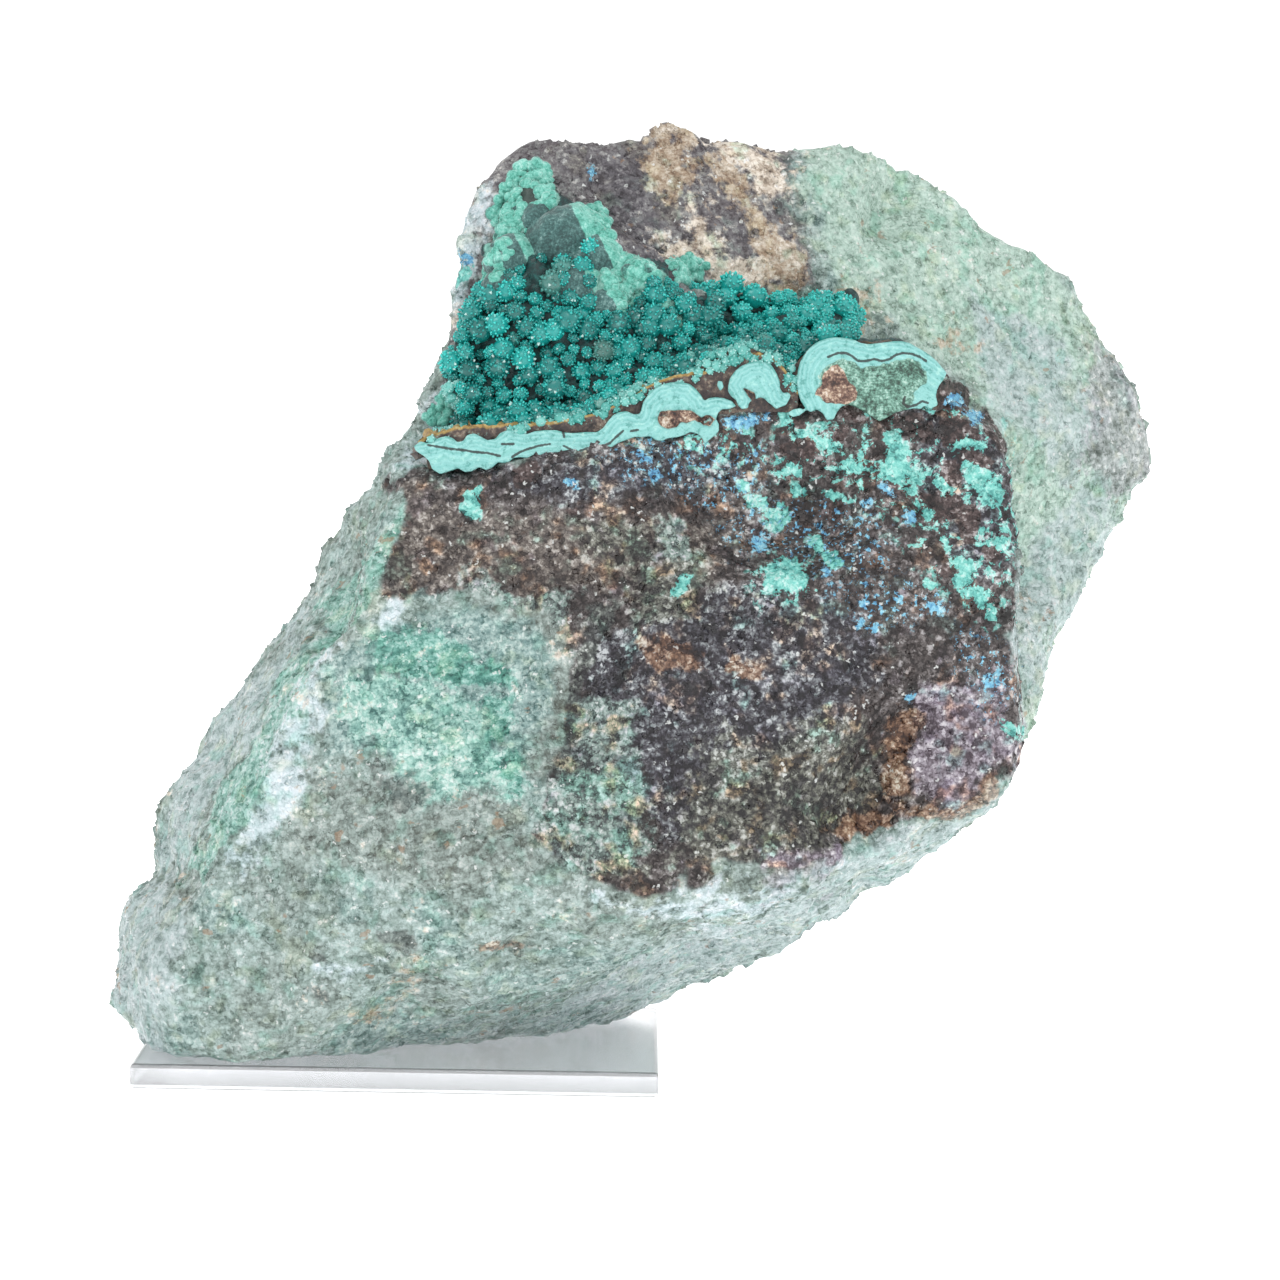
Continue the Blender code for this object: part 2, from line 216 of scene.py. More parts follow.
zones = {
    "brown": {"soft": 15, "outlines": [
        [(396, 470), (520, 462), (640, 422), (745, 402), (800, 400), (950, 386), (1012, 430), (1016, 560), (1022, 690),
         (1030, 745), (1006, 784), (930, 812), (900, 834), (850, 846), (790, 868), (742, 872), (700, 893),
         (640, 888), (575, 872), (545, 830), (545, 760), (566, 700), (576, 650), (540, 612), (470, 600), (385, 590),
         (374, 574), (396, 530)]]},
    "tan": {"soft": 40, "outlines": [
        [(400, 500), (470, 520), (620, 520), (740, 520), (720, 580), (620, 590), (540, 600), (385, 592), (380, 560)],
        [(660, 640), (730, 640), (760, 680), (700, 700), (650, 680)],
        [(380, 480), (430, 490), (420, 540), (380, 560)]]},
    "night": {"soft": 34, "outlines": [
        [(600, 640), (650, 610), (760, 590), (840, 600), (880, 680), (820, 740), (760, 760), (700, 830), (650, 860),
         (640, 780), (570, 760), (580, 700)],
        [(490, 470), (560, 460), (700, 440), (760, 470), (640, 500), (540, 500)],
        [(900, 400), (1004, 430), (1010, 560), (960, 560), (930, 480)]]},
    "net": {"soft": 40, "outlines": [
        [(800, 412), (870, 410), (950, 392), (1006, 440), (1008, 620), (966, 600), (900, 530), (830, 490), (770, 470),
         (780, 420)],
        [(756, 550), (812, 560), (806, 596), (760, 594)],
        [(940, 540), (1006, 560), (1002, 630), (950, 600)],
        [(640, 432), (740, 412), (760, 450), (700, 466)]]},
    "blue": {"soft": 36, "outlines": [
        [(840, 590), (880, 576), (940, 590), (950, 620), (900, 632), (850, 628)],
        [(956, 630), (1010, 640), (1020, 700), (990, 716), (966, 700)],
        [(620, 444), (760, 440), (776, 520), (740, 560), (700, 500), (640, 484)],
        [(770, 500), (860, 510), (900, 560), (860, 580), (780, 560)]]},
    "olive": {"soft": 44, "outlines": [
        [(690, 740), (860, 720), (890, 790), (840, 850), (720, 884), (660, 870)],
        [(590, 530), (700, 540), (700, 620), (640, 610)],
        [(560, 760), (640, 780), (640, 870), (580, 860)]]},
    "rust": {"soft": 12, "outlines": [
        [(880, 706), (930, 700), (936, 722), (912, 740), (900, 790), (880, 800), (886, 750)],
        [(838, 826), (860, 812), (896, 816), (890, 836), (850, 846)],
        [(930, 800), (1000, 776), (1012, 790), (960, 816), (900, 822)],
        [(648, 640), (672, 630), (690, 650), (706, 664), (700, 678), (680, 672), (660, 676), (650, 660)],
        [(730, 660), (745, 652), (758, 656), (752, 668), (736, 672)],
        [(490, 946), (528, 944), (526, 956), (494, 957)]]},
    "ochre": {"soft": 26, "outlines": [
        [(646, 132), (690, 128), (704, 160), (698, 196), (668, 206), (648, 184)],
        [(700, 166), (744, 176), (768, 206), (792, 246), (806, 296), (780, 298), (774, 250), (742, 212), (712, 198)],
        [(852, 294), (876, 296), (882, 328), (860, 330)],
        [(940, 334), (952, 332), (954, 345), (942, 347)],
        [(962, 338), (984, 340), (980, 349), (964, 347)],
        [(1032, 584), (1042, 584), (1040, 600), (1032, 600)],
        [(392, 974), (414, 972), (412, 984), (394, 984)],
        [(356, 1006), (388, 1004), (384, 1016), (358, 1018)],
        [(684, 520), (700, 510), (720, 512), (734, 528), (734, 550), (716, 568), (698, 562), (688, 546)]]},
    "mauve": {"soft": 26, "outlines": [
        [(926, 690), (1000, 690), (1022, 740), (1000, 780), (940, 800), (908, 790), (916, 740)],
        [(770, 850), (836, 838), (828, 880), (768, 892)],
        [(1096, 330), (1150, 400), (1160, 478), (1100, 490), (1080, 420)]]},
    "green": {"soft": 30, "outlines": [
        [(376, 622), (450, 612), (530, 622), (556, 660), (540, 720), (520, 780), (450, 790), (396, 770), (330, 744),
         (318, 700), (348, 650)]]},
    "emerald": {"soft": 22, "outlines": [
        [(374, 632), (420, 622), (460, 640), (494, 650), (500, 676), (470, 690), (430, 672), (384, 676), (366, 660)],
        [(470, 690), (506, 690), (512, 720), (496, 744), (476, 730)],
        [(500, 760), (520, 740), (524, 776), (508, 790)]]},
    "mint": {"soft": 22, "outlines": [
        [(344, 690), (380, 680), (430, 680), (470, 700), (500, 740), (516, 790), (480, 800), (430, 790), (396, 766),
         (360, 750), (340, 720)]]},
    "band": {"soft": 14, "outlines": [
        [(404, 480), (380, 566), (331, 650), (300, 700), (262, 780), (222, 852), (206, 880), (196, 860), (230, 780),
         (276, 700), (322, 622), (360, 560), (386, 510)]]},
    "dull": {"soft": 34, "outlines": [
        [(310, 772), (380, 776), (420, 800), (520, 800), (546, 830), (556, 872), (470, 884), (360, 870), (300, 840)],
        [(470, 612), (550, 612), (590, 640), (570, 720), (540, 790), (516, 740), (530, 670)],
        [(100, 880), (160, 860), (200, 800), (180, 960), (110, 1010)]]},
    "pale": {"soft": 24, "outlines": [
        [(336, 650), (310, 690), (272, 760), (226, 850), (244, 870), (286, 810), (304, 760), (312, 700)],
        [(376, 594), (400, 594), (412, 604), (396, 618), (370, 630)],
        [(600, 892), (700, 898), (770, 884), (836, 846), (850, 860), (770, 906), (700, 920), (610, 910)],
        [(296, 966), (340, 962), (384, 968), (366, 974), (310, 974)],
        [(686, 926), (740, 920), (730, 942), (690, 942)],
        [(456, 220), (472, 190), (488, 190), (478, 240), (466, 300), (452, 300)],
        [(404, 450), (424, 418), (432, 396), (448, 390), (454, 412), (442, 424), (430, 446), (412, 466)],
        [(704, 532), (722, 534), (722, 546), (706, 548)]]},
    "cream": {"soft": 28, "outlines": [
        [(692, 190), (712, 196), (722, 236), (716, 262), (740, 270), (772, 252), (778, 282), (746, 300), (716, 290),
         (694, 262), (672, 262), (668, 240), (692, 236)],
        [(700, 132), (752, 140), (792, 158), (796, 190), (756, 176), (716, 160)]]},
    "misty": {"soft": 24, "outlines": [
        [(545, 760), (560, 690), (600, 684), (630, 720), (650, 780), (640, 850), (600, 880), (556, 868)],
        [(476, 584), (556, 584), (580, 600), (566, 640), (520, 636), (470, 620)],
        [(640, 530), (680, 520), (690, 560), (650, 570)]]},
    # painted shade: dark colour in the groove down the front face, and in a few small dark spots
    "grooveShade": {"soft": 12, "outlines": [
        [(590, 604), (616, 600), (606, 640), (594, 668), (582, 704), (570, 744), (562, 764), (552, 740), (566, 700),
         (580, 650)],
        [(362, 772), (420, 768), (430, 784), (396, 796)],
        [(372, 930), (402, 926), (410, 950), (382, 958)],
        [(302, 944), (322, 942), (322, 956), (306, 958)],
        [(300, 1000), (318, 998), (314, 1012), (302, 1012)]]},
    "clasts": {"soft": 4, "outlines": [
        [(785, 420), (797, 417), (804, 424), (800, 433), (789, 434), (782, 428)],
        [(781, 443), (798, 440), (813, 444), (817, 452), (806, 461), (790, 461), (779, 453)],
        [(835, 408), (845, 404), (858, 406), (867, 412), (869, 420), (856, 424), (842, 420), (834, 414)],
        [(831, 428), (842, 424), (850, 430), (849, 440), (840, 443), (832, 437)],
        [(881, 412), (899, 415), (903, 428), (890, 433), (879, 424)],
        [(903, 413), (919, 411), (923, 420), (917, 431), (908, 437), (903, 424)],
        [(919, 423), (931, 425), (935, 437), (926, 443), (917, 438)],
        [(938, 419), (960, 421), (978, 429), (981, 438), (962, 441), (944, 445), (937, 434)],
        [(934, 386), (944, 381), (958, 383), (970, 391), (973, 402), (960, 411), (944, 409), (935, 398)],
        [(955, 452), (966, 447), (984, 452), (997, 462), (992, 471), (976, 467), (962, 461)],
        [(939, 462), (954, 461), (963, 472), (960, 485), (949, 487), (939, 476)],
        [(921, 494), (940, 489), (961, 494), (965, 510), (952, 523), (932, 521), (921, 508)],
        [(961, 503), (976, 501), (981, 520), (977, 545), (964, 547), (957, 524)],
        [(883, 481), (896, 481), (901, 492), (890, 497), (881, 490)],
        [(825, 506), (838, 501), (847, 510), (842, 521), (828, 521)],
        [(983, 548), (996, 543), (1001, 556), (990, 567), (981, 558)],
        [(941, 566), (952, 563), (957, 576), (944, 581), (937, 574)],
        [(510, 472), (520, 462), (538, 464), (540, 474), (530, 486), (516, 488)],
        [(566, 508), (576, 505), (580, 512), (570, 516)],
        [(984, 400), (996, 424), (1006, 446), (1004, 456), (990, 440), (978, 416)]]},
    "aqua": {"soft": 4, "outlines": [
        [(841, 458), (852, 453), (859, 462), (864, 471), (850, 471), (839, 466)],
        [(885, 434), (896, 429), (905, 442), (905, 458), (912, 470), (905, 482), (889, 484), (883, 470), (887, 452)],
        [(957, 466), (970, 461), (990, 470), (1003, 476), (1001, 500), (995, 513), (984, 501), (975, 487), (963, 480)],
        [(907, 473), (927, 476), (918, 491), (907, 494)],
        [(921, 512), (931, 507), (937, 519), (925, 523)],
        [(931, 473), (946, 479), (953, 491), (941, 495), (933, 486)],
        [(953, 447), (966, 437), (981, 439), (985, 449), (968, 449), (955, 455)],
        [(949, 560), (962, 555), (973, 556), (973, 572), (965, 583), (951, 587), (949, 578), (958, 571)],
        [(965, 590), (978, 581), (991, 598), (999, 614), (992, 621), (981, 615), (977, 604)],
        [(762, 588), (774, 560), (791, 558), (802, 569), (813, 582), (818, 593), (800, 591), (784, 590), (771, 593)],
        [(763, 512), (780, 503), (789, 512), (787, 523), (778, 531), (765, 531)],
        [(807, 537), (819, 535), (823, 549), (815, 553)],
        [(791, 481), (803, 486), (805, 495), (795, 497)],
        [(819, 551), (835, 551), (843, 567), (833, 569)],
        [(820, 491), (840, 493), (856, 500), (842, 505), (824, 499)],
        [(979, 544), (992, 537), (1002, 529), (1005, 545), (989, 553)],
        [(983, 562), (994, 557), (999, 565), (987, 571)],
        [(999, 715), (1010, 721), (1023, 731), (1023, 739), (1010, 735), (1001, 727)],
        [(810, 440), (828, 435), (839, 444), (834, 451), (816, 447)],
        [(785, 461), (796, 463), (803, 472), (793, 477)],
        [(737, 483), (750, 483), (753, 493), (739, 495)],
        [(745, 499), (762, 495), (771, 500), (765, 509), (749, 509)],
        [(683, 440), (694, 437), (699, 449), (689, 453)],
        [(466, 496), (478, 488), (483, 504), (479, 517), (467, 517), (462, 508)],
        [(919, 577), (930, 581), (940, 587), (925, 590)],
        [(776, 409), (786, 411), (796, 424), (806, 436), (798, 442), (786, 430)],
        [(671, 585), (682, 574), (691, 576), (685, 591), (673, 600)],
        [(458, 264), (470, 262), (468, 282), (456, 286)],
        [(672, 258), (700, 256), (706, 272), (680, 278)]]},
    "sky": {"soft": 4, "outlines": [
        [(723, 420), (732, 416), (745, 416), (757, 417), (759, 424), (750, 430), (738, 431), (725, 428)],
        [(761, 411), (768, 411), (769, 421), (762, 421)],
        [(564, 482), (574, 477), (581, 482), (582, 489), (571, 489)],
        [(751, 540), (760, 533), (769, 542), (767, 551), (755, 553)],
        [(818, 572), (830, 565), (833, 573), (823, 579)],
        [(946, 396), (958, 394), (963, 404), (954, 410), (947, 403)],
        [(968, 408), (978, 413), (983, 425), (971, 425), (964, 414)],
        [(857, 619), (865, 619), (867, 629), (857, 629)],
        [(869, 623), (877, 623), (879, 633), (871, 633)],
        [(861, 599), (869, 599), (869, 607), (861, 607)],
        [(897, 595), (905, 595), (905, 603), (897, 603)],
        [(905, 509), (915, 513), (913, 525), (905, 521)],
        [(929, 605), (941, 603), (943, 613), (933, 617)],
        [(983, 675), (999, 671), (997, 687), (985, 691)],
        [(904, 692), (913, 692), (911, 700), (903, 699)],
        [(859, 499), (875, 499), (873, 507), (861, 507)],
        [(879, 483), (892, 489), (897, 495), (883, 493)],
        [(636, 452), (646, 451), (650, 461), (640, 462)],
        [(649, 469), (659, 469), (659, 479), (649, 479)],
        [(586, 168), (594, 166), (598, 174), (590, 180)],
        [(460, 252), (468, 250), (470, 262), (462, 264)]]},
    # painted light: a pale wash over the brightly lit lower faces and edges, and over the underside
    "paintedLightWash": {"soft": 26, "outlines": [
        [(540, 1020), (640, 950), (760, 912), (860, 862), (960, 815), (1016, 780), (1010, 800), (900, 890), (830, 940),
         (760, 975), (660, 1015)],
        [(90, 960), (130, 876), (170, 860), (180, 940), (160, 1070), (100, 1040)],
        [(150, 860), (200, 740), (260, 660), (300, 600), (310, 620), (250, 730), (200, 830), (170, 880)],
        [(1010, 560), (1060, 520), (1110, 470), (1100, 560), (1040, 680), (1020, 740)],
        [(960, 300), (1040, 320), (1100, 420), (1080, 500), (1000, 420)]]},
    "wall": {"soft": 30, "outlines": [
        [(440, 400), (450, 330), (470, 190), (510, 130), (640, 110), (700, 112), (790, 140), (806, 210), (816, 300),
         (700, 300), (600, 300), (560, 420)],
        [(424, 440), (470, 400), (490, 430), (430, 470)]]},
    "gloom": {"soft": 26, "outlines": [
        [(724, 206), (742, 204), (772, 232), (790, 262), (778, 268), (752, 244), (728, 226)],
        [(560, 150), (650, 150), (660, 230), (700, 290), (690, 320), (640, 260), (600, 210)],
        [(500, 175), (520, 180), (516, 230), (496, 240)]]},
    "slab": {"soft": 30, "outlines": [
        [(800, 130), (900, 150), (1060, 260), (1160, 460), (1120, 500), (1020, 780), (1010, 560), (1008, 430),
         (960, 370), (860, 320), (820, 240)]]},
}
depthLimits = {"wall": (3.0, 40.0), "gloom": (3.0, 40.0), "cream": (3.0, 40.0), "brown": (-12.0, 5.0),
               "slab": (7.0, 60.0)}   # mm


def outlineWeight(px, py, outline, softness):
    corners = np.array(outline, dtype=float)
    nearest = np.full(px.shape, 1e9)
    inside = np.zeros(px.shape, dtype=bool)
    for first, last in zip(corners, np.roll(corners, -1, axis=0)):
        along = last - first
        share = ((px - first[0]) * along[0] + (py - first[1]) * along[1]) / (along @ along)
        share = np.clip(share, 0.0, 1.0)
        gap = np.hypot(px - first[0] - share * along[0], py - first[1] - share * along[1])
        nearest = np.minimum(nearest, gap)
        crosses = (first[1] > py) != (last[1] > py)
        slope = (last[0] - first[0]) / (last[1] - first[1] or 1.0)
        inside ^= crosses & (px < first[0] + slope * (py - first[1]))
    signed = np.where(inside, nearest, -nearest)
    return soft(-softness, softness, signed)


def wander(places, size):
    # a smooth random shift for each place
    return np.array([noise.noise_vector(Vector(place) / (size * mm)) for place in places])


def zoneWeights(places, away):
    # the weight of each zone at each place; what the photograph can't see follows a rule of its own
    px, py, depth = photoPixels(places)
    broad, close = wander(places, 3.4), wander(places, 0.9)
    shift = broad * 22 + close * 9
    facing = soft(-0.15, 0.25, away)
    x, y, z = (places / mm + shift * 0.05).T
    hidden = {
        "brown": soft(20.0, 14.0, np.hypot(np.hypot(x - 28, (y + 12) * 0.9), z - 34)) * 0.9,
        "net": soft(16.0, 9.0, np.hypot(np.hypot(x - 34, y + 10), z - 38)) * 0.8,
        "night": soft(9.0, 5.0, np.hypot(np.hypot(x - 28, y + 4), z - 26)),
        "wall": soft(13.0, 9.0, np.hypot(np.hypot(x - 13, y - 2), z - 54)),
        "rust": soft(3.0, 0.0, np.abs(z - 0.5 * x - 33)) * 0.4,
        "ochre": soft(6.0, 2.0, np.abs(z - 0.7 * x - 20)) * 0.5,
        "slab": soft(20.0, 26.0, x) * soft(-12.0, -6.0, y),
        # painted light: the underside near the base is painted pale, standing for the light from below
        "paintedLightWash": soft(8.0, 4.0, z) * 0.9,
        "dull": soft(0.0, 14.0, y) * 0.45,
        "pale": soft(8.0, 2.0, z) * 0.3,
        "green": soft(-4.0, -14.0, x) * 0.5,
    }
    flow = np.array([noise.fractal(Vector(place) / (3.2 * mm), 1.0, 2.0, 4) for place in places])
    other = np.array([noise.fractal(Vector(place) / (5.0 * mm) + Vector((7.0, 3.0, 5.0)), 1.0, 2.0, 4) for place in places])
    weights = {
        "drift": np.clip(0.5 + 0.25 * flow, 0.0, 1.0),
        "minty": soft(0.0, 0.5, other),
        "greyish": soft(0.0, -0.5, other),
    }
    for name, zone in zones.items():
        weight = np.zeros(len(places))
        warp = shift if zone["soft"] > 10 else close * 5      # small marks stay where they are
        for outline in zone["outlines"]:
            weight = np.maximum(weight, outlineWeight(px + warp[:, 0], py + warp[:, 1], outline, zone["soft"]))
        near, far = depthLimits.get(name, (-14.0, 60.0))
        weight = weight * soft(near - 1.0, near, depth) * soft(far + 2.0, far, depth)
        weights[name] = weight * facing + hidden.get(name, 0.0) * (1.0 - facing)
    return weights


def paintZones(obj):
    for name, weight in zoneWeights(points(obj), -(normals(obj) @ forward)).items():
        attribute(obj, name, weight)


# Shader helpers

paintDepth = 0.74      # the light is bright, so every colour is painted this much darker than it looks


def rgb(red, green, blue):
    # a colour as it looks in the photograph, from 0 to 255, made linear
    return tuple(paintDepth * ((value / 255 + 0.055) / 1.055) ** 2.4 for value in (red, green, blue)) + (1.0,)


class Nodes:
    def __init__(self, tree):
        self.tree = tree

    def add(self, kind, inputs=None, **settings):
        node = self.tree.nodes.new(kind)
        for key, value in settings.items():
            setattr(node, key, value)
        for key, value in (inputs or {}).items():
            if isinstance(value, bpy.types.NodeSocket):
                self.tree.links.new(value, node.inputs[key])
            else:
                node.inputs[key].default_value = value
        return node

    def math(self, operation, first, second=0.0, third=0.0, clamp=False):
        return self.add("ShaderNodeMath", {0: first, 1: second, 2: third},
                        operation=operation, use_clamp=clamp).outputs[0]

    def step(self, value, low, high, toLow=0.0, toHigh=1.0):
        return self.add("ShaderNodeMapRange", {"Value": value, "From Min": low, "From Max": high, "To Min": toLow,
                                               "To Max": toHigh}, interpolation_type="SMOOTHSTEP").outputs[0]

    def mix(self, share, first, second, blend="MIX"):
        node = self.add("ShaderNodeMix", data_type="RGBA", blend_type=blend)
        for index, value in ((0, share), (6, first), (7, second)):
            if isinstance(value, bpy.types.NodeSocket):
                self.tree.links.new(value, node.inputs[index])
            else:
                node.inputs[index].default_value = value
        return node.outputs[2]

    def ramp(self, value, stops, interpolation="LINEAR"):
        node = self.add("ShaderNodeValToRGB", {"Fac": value})
        node.color_ramp.interpolation = interpolation
        bar = node.color_ramp.elements
        while len(bar) < len(stops):
            bar.new(0.5)
        for element, (place, color) in zip(bar, stops):
            element.position = place
        for element, (place, color) in zip(bar, stops):
            element.color = color
        return node.outputs["Color"]

    def noise(self, vector, size, detail=4.0, rough=0.6, distortion=0.0):
        return self.add("ShaderNodeTexNoise", {"Vector": vector, "Scale": 1.0 / (size * mm), "Detail": detail,
                                               "Roughness": rough, "Distortion": distortion}).outputs["Fac"]

    def voronoi(self, vector, size, feature="F1", random=1.0):
        return self.add("ShaderNodeTexVoronoi", {"Vector": vector, "Scale": 1.0 / (size * mm),
                                                 "Randomness": random}, feature=feature)

    def attribute(self, name):
        return self.add("ShaderNodeAttribute", attribute_name=name).outputs["Fac"]

    def place(self):
        return self.add("ShaderNodeTexCoord").outputs["Object"]


def newMaterial(name):
    material = bpy.data.materials.new(name)
    material.use_nodes = True
    return material, Nodes(material.node_tree), material.node_tree.nodes["Principled BSDF"]


def connect(nodes, shader, **sockets):
    for name, value in sockets.items():
        socket = shader.inputs[name.replace("_", " ")]
        if isinstance(value, bpy.types.NodeSocket):
            nodes.tree.links.new(value, socket)
        else:
            socket.default_value = value


def newGroup(name, inputs, outputs):
    group = bpy.data.node_groups.new(name, "ShaderNodeTree")
    for label, kind, value in inputs:
        socket = group.interface.new_socket(label, in_out="INPUT", socket_type="NodeSocket" + kind)
        if value is not None:
            socket.default_value = value
    for label, kind in outputs:
        group.interface.new_socket(label, in_out="OUTPUT", socket_type="NodeSocket" + kind)
    nodes = Nodes(group)
    return group, nodes, nodes.add("NodeGroupInput").outputs, nodes.add("NodeGroupOutput").inputs


def useGroup(nodes, group, **inputs):
    node = nodes.add("ShaderNodeGroup", node_tree=group)
    for name, value in inputs.items():
        socket = node.inputs[name]
        if isinstance(value, bpy.types.NodeSocket):
            nodes.tree.links.new(value, socket)
        else:
            socket.default_value = value
    return node.outputs


def tiltedNormal(nodes, cellColor, tilt):
    centred = nodes.add("ShaderNodeVectorMath", {0: cellColor, 1: (0.5, 0.5, 0.5)}, operation="SUBTRACT")
    tilted = nodes.add("ShaderNodeVectorMath", {0: centred.outputs[0], "Scale": tilt}, operation="SCALE")
    surface = nodes.add("ShaderNodeNewGeometry").outputs["Normal"]
    added = nodes.add("ShaderNodeVectorMath", {0: surface, 1: tilted.outputs[0]}, operation="ADD")
    return nodes.add("ShaderNodeVectorMath", {0: added.outputs[0]}, operation="NORMALIZE").outputs[0]


def makeGlitterGroup():
    # flat crystal facets that each turn their own way, so that a few of them flash
    group, nodes, given, result = newGroup(
        "glitter", [("Vector", "Vector", None), ("Size", "Float", 0.3), ("Tilt", "Float", 0.6)],
        [("Normal", "Vector"), ("Shine", "Float"), ("Cell", "Float")])
    scale = nodes.math("DIVIDE", 1.0 / mm, given["Size"])
    cells = nodes.add("ShaderNodeTexVoronoi", {"Vector": given["Vector"], "Scale": scale})
    parts = nodes.add("ShaderNodeSeparateColor", {0: cells.outputs["Color"]})
    nodes.tree.links.new(tiltedNormal(nodes, cells.outputs["Color"], given["Tilt"]), result["Normal"])
    nodes.tree.links.new(nodes.step(parts.outputs[0], 0.72, 0.9), result["Shine"])
    nodes.tree.links.new(parts.outputs[1], result["Cell"])
    return group


def makeGrainGroup():
    # a mass of grains on a scale from dark, 0, to light, 1, each with its own facet, and painted glints on a few grains
    group, nodes, given, result = newGroup(
        "grains", [("Vector", "Vector", None), ("Size", "Float", 0.3), ("Fine", "Float", 0.5), ("Middle", "Float", 0.5),
                   ("Tilt", "Float", 0.6)],
        [("Shade", "Float"), ("Pick", "Float"), ("Relief", "Float"), ("PaintedGlint", "Float"), ("Normal", "Vector")])
    scale = nodes.math("DIVIDE", 1.0 / mm, given["Size"])
    wobble = nodes.add("ShaderNodeTexNoise", {"Vector": given["Vector"], "Scale": 4200.0, "Detail": 1.0})
    centred = nodes.add("ShaderNodeVectorMath", {0: wobble.outputs["Color"], 1: (0.5, 0.5, 0.5)}, operation="SUBTRACT")
    small = nodes.add("ShaderNodeVectorMath", {0: centred.outputs[0], "Scale": 0.0005}, operation="SCALE")
    bent = nodes.add("ShaderNodeVectorMath", {0: given["Vector"], 1: small.outputs[0]}, operation="ADD").outputs[0]
    cells = nodes.add("ShaderNodeTexVoronoi", {"Vector": bent, "Scale": scale})
    parts = nodes.add("ShaderNodeSeparateColor", {0: cells.outputs["Color"]})
    layers = ((parts.outputs[0], 0.5, 0.54), (given["Fine"], 0.5, 0.85), (given["Middle"], 0.5, 1.4),
              (cells.outputs["Distance"], 0.42, -0.5))
    total = 0.5
    for value, centre, share in layers:
        total = nodes.math("MULTIPLY_ADD", nodes.math("SUBTRACT", value, centre), share, total)
    nodes.tree.links.new(total, result["Shade"])
    nodes.tree.links.new(parts.outputs[1], result["Pick"])
    relief = nodes.math("MULTIPLY_ADD", given["Fine"], 0.6, parts.outputs[0])
    nodes.tree.links.new(nodes.math("SUBTRACT", relief, cells.outputs["Distance"]), result["Relief"])
    paintedGlint = nodes.math("MULTIPLY", nodes.step(parts.outputs[2], 0.94, 0.95), nodes.step(cells.outputs["Distance"], 0.4, 0.25))
    nodes.tree.links.new(paintedGlint, result["PaintedGlint"])
    nodes.tree.links.new(tiltedNormal(nodes, cells.outputs["Color"], given["Tilt"]), result["Normal"])
    return group


glitterGroup = makeGlitterGroup()
grainGroup = makeGrainGroup()


# The stone

stone = {
    "voxel": 0.54,            # mm
    "softening": 3,
    "lumps": (2.6, 0.42),     # size and height in mm of each layer of roughness
    "chips": (1.5, 0.34),
    "grains": (0.62, 0.2),
    "grit": (0.3, 0.12),
    "restHeight": 1.56,       # mm, just over the base
    "layerTurn": (0.0, -0.21, 0.0),        # the rock's faint layers rise to the right
    "layerStretch": (2.2, 1.8, 0.8),
}
# for each side: along it, where the outline lies, and how far it moves, all in pixels
outlineFit = {
    "top": [(500, 165, 0), (530, 152, -10), (570, 154, -12), (590, 161, -18), (610, 165, -22), (630, 161, -23),
            (650, 146, -15), (690, 142, -13), (705, 142, 0), (750, 138, 6), (775, 139, 12), (800, 142, 6), (820, 146, 0),
            (850, 159, -12), (890, 182, -18), (910, 198, -26), (930, 204, -21), (950, 211, -15), (980, 235, -9),
            (1010, 252, -8), (1050, 275, -7), (1070, 291, -12), (1090, 319, 0)],
    "bottom": [(610, 1040, 0), (650, 1024, -14), (680, 1012, -22), (720, 998, -19), (750, 970, -6), (800, 931, 3),
               (840, 919, -5), (860, 911, -18), (880, 896, -8), (910, 870, -3), (960, 836, -4), (990, 806, 0)],
    "left": [(150, 512, 0), (190, 489, -14), (220, 481, -17), (250, 470, -13), (280, 458, -4), (340, 438, 4),
             (370, 441, -8), (400, 436, -21), (430, 424, -26), (460, 399, -16), (490, 373, -6), (540, 330, -3),
             (580, 299, 16), (610, 283, 15), (650, 255, 10), (700, 221, 12), (730, 207, -1), (820, 165, -9), (850, 159, -5),
             (910, 128, -5), (1000, 115, -6), (1030, 134, 0)],
    "right": [(390, 1136, 0), (430, 1136, 9), (490, 1125, 8), (520, 1109, 12), (550, 1099, 3), (610, 1080, -6),
              (640, 1070, -17), (670, 1054, -9), (700, 1042, 0)],
}
outlineReach = {"top": 130.0, "bottom": 60.0, "left": 60.0, "right": 60.0}
